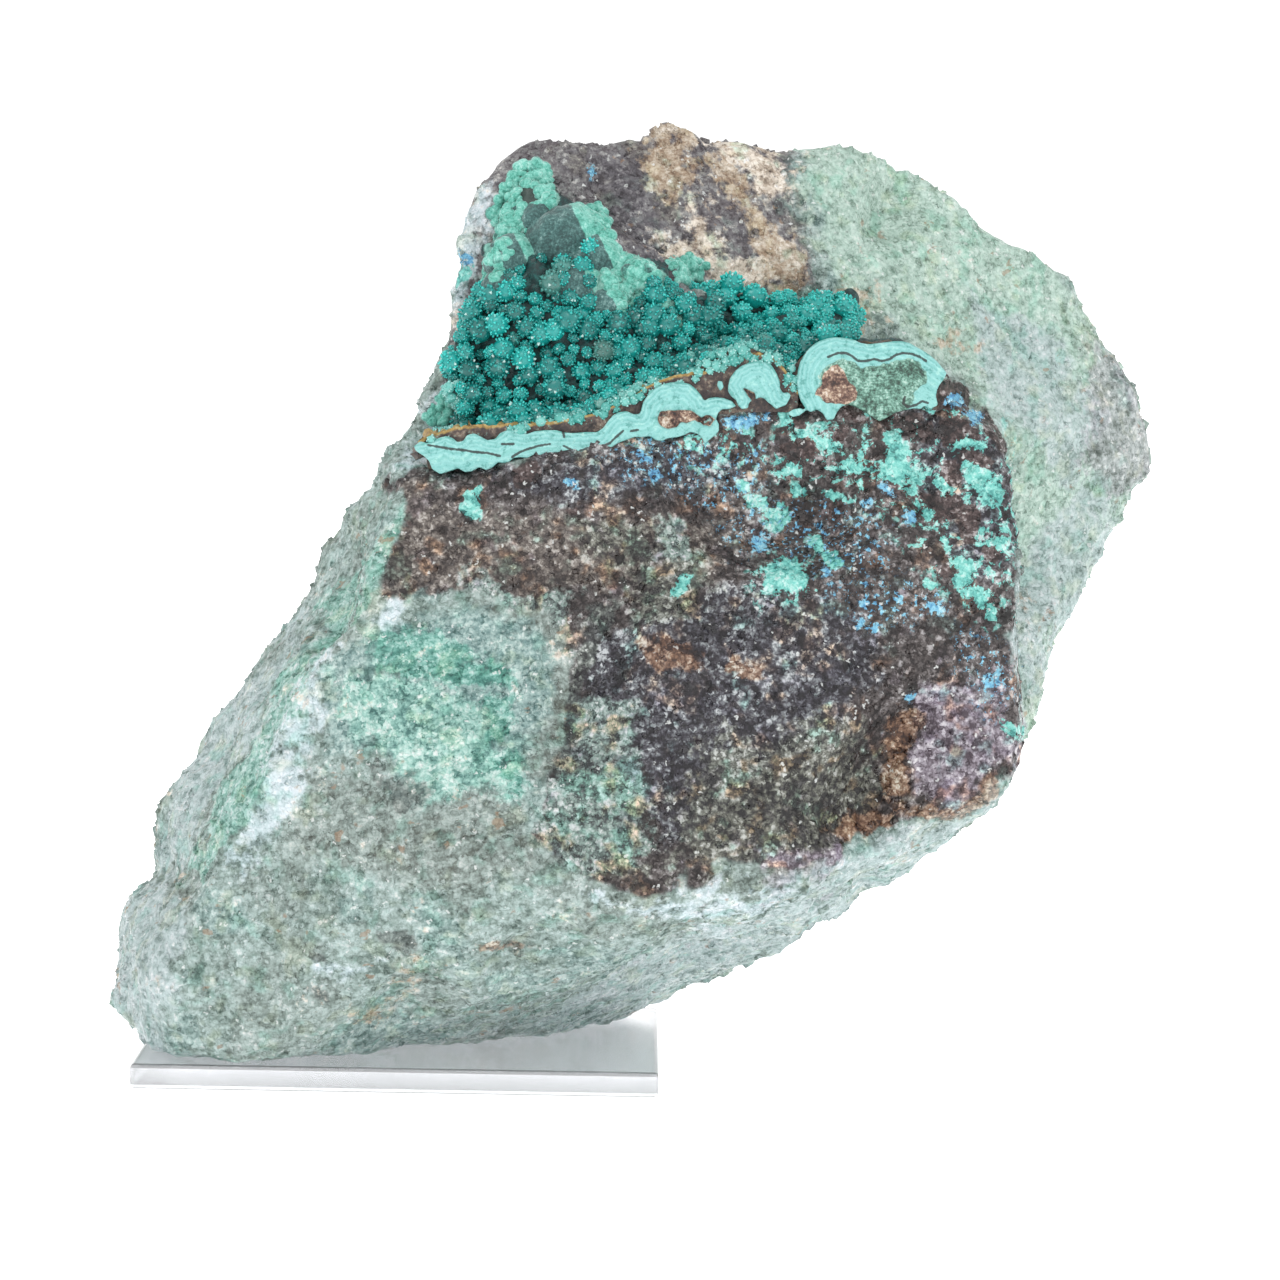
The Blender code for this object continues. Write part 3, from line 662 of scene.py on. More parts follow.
# each zone's colours, stains and painted light and shade alike, from its darkest grains to its lightest
zoneColours = {
    "quartz": [(89, 109, 102), (126, 146, 139), (155, 174, 169), (178, 198, 195), (211, 218, 217)],
    "slab": [(122, 147, 132), (160, 187, 173), (181, 207, 194), (197, 220, 208), (220, 232, 223)],
    "dull": [(79, 83, 75), (112, 123, 117), (142, 156, 150), (169, 182, 177), (202, 208, 204)],
    "green": [(58, 95, 91), (109, 141, 139), (148, 175, 171), (184, 206, 201), (221, 228, 224)],
    "emerald": [(20, 84, 76), (54, 128, 114), (100, 166, 152), (156, 204, 194), (216, 234, 230)],
    "mint": [(62, 112, 106), (110, 160, 150), (158, 204, 192), (198, 226, 218), (234, 242, 238)],
    "band": [(58, 111, 99), (108, 161, 147), (154, 198, 187), (188, 217, 211), (227, 234, 235)],
    "pale": [(162, 182, 184), (191, 212, 217), (214, 230, 236), (230, 239, 247), (246, 249, 252)],
    # colours of the painted light wash
    "paintedLightWash": [(136, 156, 153), (164, 183, 182), (184, 201, 202), (198, 211, 213), (218, 223, 227)],
    "wall": [(56, 48, 52), (94, 88, 92), (125, 123, 124), (160, 160, 158), (214, 208, 204)],
    "gloom": [(42, 36, 42), (66, 62, 68), (94, 90, 96), (126, 124, 126), (180, 182, 180)],
    "cream": [(141, 125, 109), (188, 172, 154), (224, 211, 195), (245, 234, 219), (252, 252, 252)],
    "misty": [(52, 60, 61), (100, 117, 113), (140, 165, 157), (177, 192, 188), (217, 221, 223)],
    # colours of the painted shade in the groove
    "grooveShade": [(30, 30, 34), (52, 56, 56), (80, 86, 82), (116, 124, 118), (180, 186, 180)],
    "clasts": [(24, 17, 18), (48, 35, 33), (72, 55, 53), (98, 83, 81), (171, 162, 162)],
    "aqua": [(36, 100, 98), (76, 158, 152), (116, 202, 192), (156, 224, 214), (206, 240, 236)],
    "sky": [(54, 100, 138), (84, 150, 192), (118, 188, 220), (154, 214, 232), (206, 236, 244)],
    "ochre": [(118, 91, 68), (158, 134, 108), (188, 169, 146), (210, 196, 177), (234, 223, 209)],
    "brown": [(25, 18, 18), (51, 43, 42), (80, 73, 72), (115, 109, 108), (174, 170, 171)],
    "tan": [(41, 33, 30), (74, 65, 61), (104, 96, 90), (137, 129, 121), (191, 185, 178)],
    "night": [(15, 13, 21), (39, 36, 46), (78, 78, 86), (130, 136, 140), (201, 206, 209)],
    "olive": [(26, 26, 27), (60, 60, 58), (96, 99, 88), (139, 142, 132), (194, 197, 190)],
    "mauve": [(76, 64, 74), (120, 110, 120), (156, 147, 158), (190, 184, 193), (228, 224, 228)],
    "rust": [(62, 38, 28), (112, 78, 56), (150, 112, 84), (188, 156, 128), (224, 208, 188)],
}
# the order in which stains and painted light and shade lie over each other: raggedness of the edge, and strength
zoneOrder = [("slab", 0.8, 0.9), ("dull", 1.2, 0.85), ("green", 1.0, 0.95), ("mint", 2.2, 0.85), ("emerald", 3.0, 0.85),
              ("band", 1.4, 0.8), ("grooveShade", 2.2, 0.7),
              ("wall", 1.0, 1.0), ("gloom", 1.4, 0.9), ("cream", 2.8, 0.95), ("pale", 2.6, 0.75),
              ("paintedLightWash", 1.2, 0.8), ("ochre", 2.8, 0.85), ("mauve", 1.6, 0.55)]
matrixOrder = [("tan", 2.2, 0.85), ("night", 1.8, 0.9), ("olive", 2.6, 0.8), ("misty", 2.6, 0.8), ("mauve", 1.6, 0.9),
               ("grooveShade", 1.2, 0.85)]


def zoneRamp(nodes, shade, name):
    return nodes.ramp(shade, [(place, rgb(*color)) for place, color in zip((0.06, 0.28, 0.5, 0.72, 0.95), zoneColours[name])])


def makeStoneMaterial():
    material, nodes, shader = newMaterial("stoneStainsAndPaintedLight")
    place = nodes.place()
    drift = nodes.attribute("drift")
    fine = nodes.noise(place, 0.8, 3.0, 0.68)
    dust = nodes.noise(place, 0.25, 2.0, 0.65)
    layered = nodes.add("ShaderNodeMapping", {"Vector": place, "Rotation": stone["layerTurn"], "Scale": stone["layerStretch"]},
                        vector_type="TEXTURE").outputs[0]
    streak = nodes.noise(layered, 0.7, 3.0, 0.7)
    hues = nodes.add("ShaderNodeTexNoise", {"Vector": place, "Scale": 520.0, "Detail": 2.0, "Roughness": 0.7})
    hue = nodes.add("ShaderNodeSeparateColor", {0: hues.outputs["Color"]}).outputs
    grains = useGroup(nodes, grainGroup, Vector=place, Size=0.34, Fine=dust, Middle=fine, Tilt=0.6)
    ragged = nodes.math("MULTIPLY_ADD", fine, 0.6, nodes.math("MULTIPLY_ADD", drift, 0.5, -0.55))

    def zoneMask(name, raggedness, strength):
        weight = nodes.math("MULTIPLY_ADD", ragged, raggedness, nodes.attribute(name))
        return nodes.step(weight, 0.3, 0.7, 0.0, strength)

    own = nodes.math("MULTIPLY_ADD", nodes.attribute("grainShade"), 0.8, grains["Shade"])
    shade = nodes.math("MULTIPLY_ADD", nodes.math("SUBTRACT", drift, 0.5), 0.9, own)
    softShade = nodes.math("MULTIPLY_ADD", nodes.math("SUBTRACT", shade, 0.5), 0.66,
                           nodes.math("MULTIPLY_ADD", streak, 1.0, 0.0))
    color = zoneRamp(nodes, softShade, "quartz")
    color = nodes.mix(zoneMask("minty", 1.0, 0.5), color, zoneRamp(nodes, softShade, "green"))
    color = nodes.mix(zoneMask("greyish", 1.0, 0.5), color, zoneRamp(nodes, softShade, "dull"))
    for name, raggedness, strength in zoneOrder:
        color = nodes.mix(zoneMask(name, raggedness, strength), color, zoneRamp(nodes, softShade, name))
    # slow changes of hue, then dark, rusty and green specks along the layers
    color = nodes.mix(nodes.step(hue[0], 0.52, 0.68, 0.0, 0.75), color, (1.03, 1.0, 0.86, 1.0), "MULTIPLY")
    color = nodes.mix(nodes.step(hue[1], 0.52, 0.68, 0.0, 0.85), color, (0.74, 0.94, 0.88, 1.0), "MULTIPLY")
    color = nodes.mix(nodes.step(nodes.math("ADD", streak, nodes.math("MULTIPLY", dust, 0.35)), 0.42, 0.36, 0.0, 0.6),
                      color, rgb(64, 84, 78))
    color = nodes.mix(nodes.math("MULTIPLY", nodes.step(hue[2], 0.64, 0.69, 0.0, 0.6), nodes.step(streak, 0.5, 0.56)),
                      color, rgb(150, 116, 84))

    matrix = zoneRamp(nodes, shade, "brown")
    for name, raggedness, strength in matrixOrder:
        matrix = nodes.mix(zoneMask(name, raggedness, strength), matrix, zoneRamp(nodes, shade, name))
    matrix = nodes.mix(nodes.step(hue[0], 0.53, 0.66, 0.0, 0.9), matrix, (1.35, 0.98, 0.72, 1.0), "MULTIPLY")
    matrix = nodes.mix(nodes.step(hue[1], 0.53, 0.66, 0.0, 0.9), matrix, (0.72, 1.06, 0.98, 1.0), "MULTIPLY")
    matrix = nodes.mix(nodes.step(hue[2], 0.53, 0.66, 0.0, 0.8), matrix, (0.62, 0.56, 0.66, 1.0), "MULTIPLY")
    inMatrix = zoneMask("brown", 0.9, 1.0)
    color = nodes.mix(inMatrix, color, matrix)
    color = nodes.mix(zoneMask("rust", 2.0, 0.68), color, zoneRamp(nodes, shade, "rust"))
    color = nodes.mix(nodes.step(nodes.attribute("clasts"), 0.35, 0.6, 0.0, 0.92), color, zoneRamp(nodes, shade, "clasts"))

    # turquoise between the dark clasts, thicker in the blots
    veil = nodes.noise(place, 0.8, 5.0, 0.72, 0.4)
    held = nodes.math("MULTIPLY_ADD", nodes.attribute("aqua"), 0.17,
                      nodes.math("MULTIPLY_ADD", nodes.attribute("clasts"), -0.12, veil))
    where = nodes.math("MAXIMUM", zoneMask("net", 1.3, 1.0), nodes.step(nodes.attribute("aqua"), 0.1, 0.4))
    mask = nodes.math("MULTIPLY", nodes.step(held, 0.535, 0.565), where)
    bright = nodes.math("MULTIPLY_ADD", nodes.math("SUBTRACT", shade, 0.5), 0.75, 0.56)
    color = nodes.mix(mask, color, zoneRamp(nodes, bright, "aqua"))

    # sky blue
    spots = nodes.noise(place, 0.34, 4.0, 0.7, 0.3)
    held = nodes.math("MULTIPLY_ADD", nodes.attribute("sky"), 0.2, spots)
    flecks = nodes.math("MULTIPLY", nodes.step(spots, 0.575, 0.6), zoneMask("blue", 1.2, 1.0))
    patches = nodes.math("MULTIPLY", nodes.step(held, 0.56, 0.6), nodes.step(nodes.attribute("sky"), 0.1, 0.4))
    sky = zoneRamp(nodes, bright, "sky")
    color = nodes.mix(nodes.math("MAXIMUM", flecks, patches), color, sky)
    # painted highlights: white glints painted into the colour on a few grains
    color = nodes.mix(nodes.math("MULTIPLY", grains["PaintedGlint"], 0.7), color, rgb(232, 236, 234))

    bump = nodes.add("ShaderNodeBump", {"Strength": 0.8, "Distance": 0.0001, "Height": grains["Relief"],
                                        "Normal": grains["Normal"]}).outputs[0]
    roughness = nodes.step(grains["Pick"], 0.6, 0.9, 0.7, 0.24)
    connect(nodes, shader, Base_Color=color, Roughness=roughness, Normal=bump)
    shader.inputs["Specular IOR Level"].default_value = 0.55
    return material


def fitOutline(places):
    # moves the skin near the outline, in the plane of the picture, to where the photograph shows it
    px, py, depth = photoPixels(places)
    for side, table in outlineFit.items():
        at, edge, move = np.array(table, dtype=float).T
        along, across, direction = (px, py, -upward) if side in ("top", "bottom") else (py, px, rightward)
        inward = 1.0 if side in ("top", "left") else -1.0
        gone = (across - np.interp(along, at, edge)) * inward
        share = soft(outlineReach[side], 0.0, gone)
        shift = np.interp(along, at, move, left=0.0, right=0.0) * share * pixelSize
        places += (shift * (camera["distance"] + depth) / camera["distance"] * mm)[:, None] * direction
    return places


def makeStone():
    obj = copyOfNode("matrix_rock", "stoneSkin")
    remesh(obj, stone["voxel"], stone["softening"])
    onlySelect(obj)
    for face in obj.data.polygons:
        toward = -(face.normal.x * forward[0] + face.normal.y * forward[1] + face.normal.z * forward[2])
        face.select = bool(toward > 0.2 and face.center.y < 0.002)
    bpy.ops.object.mode_set(mode="EDIT")
    bpy.ops.mesh.select_mode(type="FACE")
    bpy.ops.mesh.subdivide(number_cuts=1)
    bpy.ops.object.mode_set(mode="OBJECT")
    displace(obj, "CLOUDS", *stone["lumps"], noise_depth=2)
    displace(obj, "VORONOI", *stone["chips"], weight_1=1.0)
    displace(obj, "VORONOI", *stone["grains"], weight_1=1.0)
    displace(obj, "CLOUDS", *stone["grit"], noise_depth=1)
    places = fitOutline(points(obj))
    places[:, 2] = np.maximum(places[:, 2], stone["restHeight"] * mm)
    movePoints(obj, places)
    paintZones(obj)
    obj.data.materials.append(makeStoneMaterial())
    smoothShade(obj)
    finishPiece(obj, "rock", "matrix_rock")
    print("stone", triangleCount(obj))
    return obj


stoneSkin = makeStone()


# Joining many copies of one small shape

def joinCopies(name, shape, turns, places, values):
    # turns are 3 by 3 matrices that hold the sizes too; values are attributes, one number for each copy or point
    corners, faces = shape
    count = len(corners)
    moved = np.einsum("nij,kj->nki", turns, corners) + places[:, None, :]
    allFaces = (np.asarray(faces)[None, :, :] + (np.arange(len(places)) * count)[:, None, None]).reshape(-1, 3)
    mesh = bpy.data.meshes.new(name)
    mesh.vertices.add(len(places) * count)
    mesh.vertices.foreach_set("co", moved.ravel())
    mesh.loops.add(allFaces.size)
    mesh.loops.foreach_set("vertex_index", allFaces.ravel().astype(np.int32))
    mesh.polygons.add(len(allFaces))
    mesh.polygons.foreach_set("loop_start", np.arange(0, allFaces.size, 3, dtype=np.int32))
    mesh.update(calc_edges=True)
    mesh.validate()
    obj = bpy.data.objects.new(name, mesh)
    bpy.context.scene.collection.objects.link(obj)
    for key, numbers in values.items():
        numbers = np.asarray(numbers)
        attribute(obj, key, np.repeat(numbers, count) if numbers.ndim == 1 else numbers.ravel())
    return obj


def shapeOf(obj):
    # takes a modelled shape's points and triangles, and removes its object
    onlySelect(obj)
    bpy.ops.object.transform_apply(location=True, rotation=True, scale=True)
    bpy.ops.object.mode_set(mode="EDIT")
    bpy.ops.mesh.select_all(action="SELECT")
    bpy.ops.mesh.quads_convert_to_tris()
    bpy.ops.object.mode_set(mode="OBJECT")
    corners = points(obj).copy()
    faces = np.array([list(face.vertices) for face in obj.data.polygons])
    mesh = obj.data
    bpy.data.objects.remove(obj)
    bpy.data.meshes.remove(mesh)
    return corners, faces


def trianglesOf(obj):
    mesh = obj.data
    mesh.calc_loop_triangles()
    triangles = np.empty(len(mesh.loop_triangles) * 3, dtype=np.int32)
    mesh.loop_triangles.foreach_get("vertices", triangles)
    return points(obj), triangles.reshape(-1, 3)


def surfaceSamples(obj, count, rng, keep):
    # random places on a mesh, by area, where keep(centres, normals) allows them
    corners, triangles = trianglesOf(obj)
    corners = corners[triangles]
    cross = np.cross(corners[:, 1] - corners[:, 0], corners[:, 2] - corners[:, 0])
    area = np.linalg.norm(cross, axis=1)
    facing = cross / np.maximum(area, 1e-15)[:, None]
    chance = area * keep(corners.mean(axis=1), facing)
    chosen = rng.choice(len(area), size=count, p=chance / chance.sum())
    shares = rng.random((count, 2))
    over = shares.sum(axis=1) > 1.0
    shares[over] = 1.0 - shares[over]
    first, second, third = corners[chosen].transpose(1, 0, 2)
    spots = first + (second - first) * shares[:, :1] + (third - first) * shares[:, 1:]
    return spots, facing[chosen]


def turnsAlong(directions, widths, lengths, rng):
    # matrices that stand a shape's +Z along each direction, spun at random
    helper = np.where(np.abs(directions[:, 2:3]) < 0.9, np.array([[0.0, 0.0, 1.0]]), np.array([[1.0, 0.0, 0.0]]))
    side = np.cross(directions, helper)
    side /= np.linalg.norm(side, axis=1)[:, None]
    other = np.cross(directions, side)
    spin = rng.random(len(directions)) * 2 * math.pi
    first = side * np.cos(spin)[:, None] + other * np.sin(spin)[:, None]
    second = np.cross(directions, first)
    return np.stack([first * widths[:, None], second * widths[:, None], directions * lengths[:, None]], axis=2)


def unit(vectors):
    return vectors / np.linalg.norm(vectors, axis=1)[:, None]


def thin(spots, gap):
    # drops spots that are nearer than the gap to one already kept
    kept = []
    cells = {}
    for index, spot in enumerate(spots):
        key = tuple(np.floor(spot / gap).astype(int))
        near = (cells.get((key[0] + a, key[1] + b, key[2] + c), ()) for a in (-1, 0, 1) for b in (-1, 0, 1)
                for c in (-1, 0, 1))
        if all(np.linalg.norm(spots[other] - spot) > gap for group in near for other in group):
            kept.append(index)
            cells.setdefault(key, []).append(index)
    return np.array(kept)


def treeOf(obj):
    corners, triangles = trianglesOf(obj)
    return BVHTree.FromPolygons([Vector(corner) for corner in corners], triangles.tolist())


def seenAt(px, py, trees):
    # where the line of sight through a pixel first meets these surfaces
    eye = Vector(aim - forward * camera["distance"]) * mm
    direction = (photoPoint(px, py, 0.0) - eye).normalized()
    hits = [tree.ray_cast(eye, direction) for tree in trees]
    hits = [hit for hit in hits if hit[0] is not None]
    nearest = min(hits, key=lambda hit: hit[3])
    return np.array(nearest[0]), np.array(nearest[1])


def inOutlines(px, py, outlines, softness=3):
    inside = np.zeros(px.shape)
    for outline in outlines:
        inside = np.maximum(inside, outlineWeight(px, py, outline, softness))
    return inside


# Loose angular grains all over the broken faces

grainCover = {
    "front": {"count": 12500, "size": (0.1, 0.25), "seed": 3},     # half sizes in mm
    "back": {"count": 8000, "size": (0.12, 0.3), "seed": 4},
    "sink": (0.5, 1.05),          # how deep a grain sits, in its own size
    "flatten": 0.45,
}


def makeGrains(side):
    settings = grainCover[side]
    rng = np.random.default_rng(settings["seed"])
    bpy.ops.object.select_all(action="DESELECT")
    bpy.ops.mesh.primitive_cube_add(size=2.0)
    shape = shapeOf(bpy.context.object)

    def keep(centres, facing):
        toward = -(facing @ forward)
        seen = soft(0.0, 0.15, toward) * (centres[:, 1] < 0.012)
        shadedHole = centres[:, 2] > (stone["restHeight"] + 0.5) * mm
        return (seen if side == "front" else 1.0 - seen) * shadedHole + 1e-9

    spots, facing = surfaceSamples(stoneSkin, settings["count"], rng, keep)
    count = len(spots)
    sizes = rng.uniform(*settings["size"], count) * mm
    directions = unit(facing + rng.normal(0.0, 0.5, (count, 3)))
    turns = turnsAlong(directions, sizes * rng.uniform(0.6, 1.2, count), sizes * rng.uniform(0.5, 1.0, count), rng)
    centres = spots - facing * (sizes * rng.uniform(*grainCover["sink"], count))[:, None]
    values = zoneWeights(spots, -(facing @ forward))
    values["grainShade"] = rng.normal(-0.02, 0.17, count)
    obj = joinCopies("quartzGrains" + side.title(), shape, turns, centres, values)
    obj.data.materials.append(stoneSkin.data.materials[0])
    finishPiece(obj, "rock")
    print("grains", side, len(obj.data.polygons))


makeGrains("front")
makeGrains("back")


# The crust that lines the hollow

crustBed = {"voxel": 0.24, "softening": 1, "lumps": (0.9, 0.3), "grit": (0.3, 0.14), "brokenFace": 0.5}
crustZones = {
    "wall": [(598, 196), (606, 226), (612, 248), (640, 256), (666, 262), (672, 284), (686, 300), (702, 296), (724, 284),
             (704, 240), (640, 190)],
    "rocky": [(786, 406), (806, 413), (836, 404), (870, 412), (905, 408), (934, 398), (936, 380), (962, 374), (1016, 420),
              (1016, 480), (760, 480), (744, 446), (722, 440), (722, 412), (760, 400)],
    "lip": [[(420, 480), (432, 434), (520, 424), (600, 408), (630, 392), (650, 378), (680, 372), (712, 352), (745, 344),
             (790, 340), (850, 330), (960, 360), (970, 420), (800, 430), (640, 440)]],
    "mint": [[(486, 290), (484, 220), (500, 150), (556, 156), (560, 200), (540, 214), (510, 250), (500, 300)],
             [(600, 212), (625, 240), (660, 270), (690, 300), (700, 330), (676, 330), (640, 322), (606, 306),
              (590, 280), (600, 250)],
             [(640, 400), (660, 370), (700, 350), (745, 338), (780, 345), (776, 372), (740, 366), (690, 384)]],
}


buttons = {
    "areas": [
        [(498, 240), (492, 214), (504, 186), (516, 168), (534, 160), (550, 172), (552, 200), (546, 222), (524, 236),
         (506, 262), (492, 300), (482, 300), (486, 262)],
        [(604, 240), (624, 256), (652, 266), (668, 290), (660, 320), (640, 326), (616, 312), (604, 280)],
        [(668, 262), (690, 254), (706, 266), (700, 280), (676, 282)],
        [(424, 420), (440, 396), (452, 400), (446, 424)],
        [(560, 212), (600, 204), (612, 236), (600, 240)],
    ],
    # the hole in the crust: no buttons grow there, and it is painted dark as painted shade
    "shadedHole": [(518, 184), (538, 188), (538, 206), (520, 206)],      # the dark hole
    "tries": 7000,
    "gap": 0.3,
    "radius": (0.2, 0.46),
}


def makeBedMaterial():
    material, nodes, shader = newMaterial("druseGround")
    place = nodes.place()
    fine = nodes.noise(place, 0.4, 5.0, 0.7)
    drift = nodes.noise(place, 1.6, 4.0, 0.65)
    # painted shade: the crust's ground between the clusters is very dark teal
    shadedTeal = nodes.ramp(fine, [(0.25, rgb(0, 20, 22)), (0.5, rgb(0, 52, 52)), (0.75, rgb(28, 112, 106))])
    mint = nodes.ramp(fine, [(0.2, rgb(64, 116, 106)), (0.42, rgb(104, 168, 154)), (0.6, rgb(146, 202, 188)),
                             (0.8, rgb(196, 228, 218))])
    dark = nodes.ramp(fine, [(0.3, rgb(26, 22, 22)), (0.5, rgb(62, 52, 46)), (0.62, rgb(110, 90, 62)),
                             (0.72, rgb(160, 130, 76)), (0.85, rgb(120, 176, 160))])
    ragged = nodes.math("MULTIPLY", nodes.math("SUBTRACT", drift, 0.5), 1.6)
    color = nodes.mix(nodes.step(nodes.math("ADD", nodes.attribute("mint"), ragged), 0.35, 0.65), shadedTeal, mint)
    color = nodes.mix(nodes.step(nodes.math("ADD", nodes.attribute("lip"), ragged), 0.3, 0.6), color, dark)
    # painted shade: the hole in the crust is painted near black
    color = nodes.mix(nodes.step(nodes.attribute("holeShade"), 0.3, 0.7, 0.0, 0.9), color, rgb(34, 30, 30))
    glitter = useGroup(nodes, glitterGroup, Vector=place, Size=0.25, Tilt=0.7)
    bump = nodes.add("ShaderNodeBump", {"Strength": 0.7, "Distance": 0.00012, "Height": fine,
                                        "Normal": glitter["Normal"]}).outputs[0]
    connect(nodes, shader, Base_Color=color, Normal=bump,
            Roughness=nodes.math("SUBTRACT", 0.62, nodes.math("MULTIPLY", glitter["Shine"], 0.35)))
    return material


def makeBed():
    obj = copyOfNode("brochantite_crust", "crustGround")
    remesh(obj, crustBed["voxel"], crustBed["softening"])
    displace(obj, "CLOUDS", *crustBed["lumps"], noise_depth=2)
    displace(obj, "VORONOI", *crustBed["grit"], weight_1=1.0)
    places = points(obj)
    px, py, depth = photoPixels(places)
    places += np.maximum(crustBed["brokenFace"] - depth, 0.0)[:, None] * forward * mm     # the lip is broken off flat
    movePoints(obj, places)
    lip = inOutlines(px, py, crustZones["lip"], 5) * soft(2.6, 1.6, depth)
    attribute(obj, "lip", lip)
    attribute(obj, "mint", inOutlines(px, py, crustZones["mint"], 8))
    attribute(obj, "holeShade", outlineWeight(px, py, buttons["shadedHole"], 3))
    paintZones(obj)
    obj.data.materials.append(makeBedMaterial())
    obj.data.materials.append(stoneSkin.data.materials[0])      # the rock shows again under the big lobe
    centres = np.array([face.center for face in obj.data.polygons])
    px, py, depth = photoPixels(centres)
    rocky = (inOutlines(px, py, [crustZones["rocky"]]) > 0.5) & (depth < 3.0)
    rocky |= inOutlines(px, py, [crustZones["wall"]]) > 0.5
    obj.data.polygons.foreach_set("material_index", rocky.astype(np.int32))
    smoothShade(obj)
    finishPiece(obj, "crystal", "brochantite_crust")
    print("crust ground", len(obj.data.polygons))
    return obj


crustGround = makeBed()
hollowTrees = [treeOf(stoneSkin), treeOf(crustGround)]


# The brochantite druse: round clusters of short stout crystals

druse = {
    "areas": [
        [(462, 404), (452, 372), (466, 322), (480, 296), (500, 288), (530, 300), (560, 306), (600, 308), (640, 316),
         (680, 312), (704, 330), (716, 356), (690, 384), (640, 396), (600, 412), (560, 422), (500, 432), (468, 428)],
        [(694, 322), (714, 294), (740, 290), (770, 298), (800, 290), (852, 294), (854, 340), (826, 350), (790, 380),
         (740, 352), (704, 352)],
        [(508, 270), (524, 266), (530, 290), (508, 296)],
        [(536, 236), (552, 232), (558, 254), (540, 260)],
        [(640, 300), (656, 270), (690, 296), (708, 330), (690, 345), (660, 340), (640, 330)],
        [(552, 252), (594, 250), (596, 306), (556, 306)],
    ],
    "tries": 12000,
    "gap": 0.78,               # mm between clusters
    "radius": (0.32, 0.8),     # mm
    "crystals": 84,            # on each whole cluster
    "length": (0.2, 0.34),
    "width": (0.09, 0.13),
    "paler": 0.8,              # how much lighter the far ones are
}
lipCrumbs = {
    "areas": [
        [(640, 404), (656, 372), (690, 356), (714, 344), (745, 336), (778, 344), (778, 368), (740, 360), (706, 376),
         (680, 384), (660, 390)],
        [(500, 434), (520, 420), (560, 412), (600, 398), (640, 384), (646, 396), (610, 414), (560, 424), (524, 432)],
        [(424, 444), (428, 420), (446, 390), (462, 380), (470, 400), (474, 426), (450, 436)],
        [(784, 384), (790, 366), (800, 366), (796, 390)],
    ],
    "tries": 9000,
    "gap": 0.36,
    "radius": (0.22, 0.4),
    "crystals": 20,
    "length": (0.16, 0.28),
    "width": (0.07, 0.12),
    "paler": 0.0,
}


def makeDruseMaterial(name, shadedDeep, litTips, light):
    material, nodes, shader = newMaterial(name)
    place = nodes.place()
    fine = nodes.noise(place, 0.35, 3.0, 0.65)
    shadedWithin = nodes.mix(nodes.attribute("tint"), rgb(*shadedDeep[0]), rgb(*shadedDeep[1]))
    litOutside = nodes.mix(nodes.attribute("tint"), rgb(*litTips[0]), rgb(*litTips[1]))
    # painted light and shade: cluster cores and crystal roots darker, the tips lighter
    color = nodes.mix(nodes.step(nodes.attribute("tip"), 0.0, 1.0), shadedWithin, litOutside)
    color = nodes.mix(nodes.step(fine, 0.56, 0.7, 0.0, 0.4), color, rgb(*light))
    color = nodes.mix(nodes.step(nodes.attribute("dust"), 0.93, 0.97, 0.0, 0.5), color, rgb(96, 130, 120))
    # painted highlights: a few crystals get a near-white colour, as sparkles
    color = nodes.mix(nodes.step(nodes.attribute("paintedSparkle"), 0.955, 0.97, 0.0, 0.75), color, rgb(216, 244, 240))
    connect(nodes, shader, Base_Color=color, Roughness=nodes.step(fine, 0.35, 0.6, 0.5, 0.14))
    shader.inputs["Specular IOR Level"].default_value = 0.5
    return material


def crystalShape():
    # a short three-sided prism, a little narrower at the top, with a blunt point
    bpy.ops.object.select_all(action="DESELECT")
    bpy.ops.mesh.primitive_cone_add(vertices=3, radius1=1.0, radius2=0.9, depth=0.7, location=(0, 0, 0.35))
    obj = bpy.context.object
    selectFaces(obj, lambda face: face.normal.z > 0.9)
    bpy.ops.mesh.extrude_region_move(TRANSFORM_OT_translate={"value": (0, 0, 0.3)})
    bpy.ops.mesh.merge(type="CENTER")
    bpy.ops.object.mode_set(mode="OBJECT")
    selectFaces(obj, lambda face: face.normal.z < -0.9)
    bpy.ops.mesh.delete(type="FACE")
    bpy.ops.object.mode_set(mode="OBJECT")
    return shapeOf(obj)


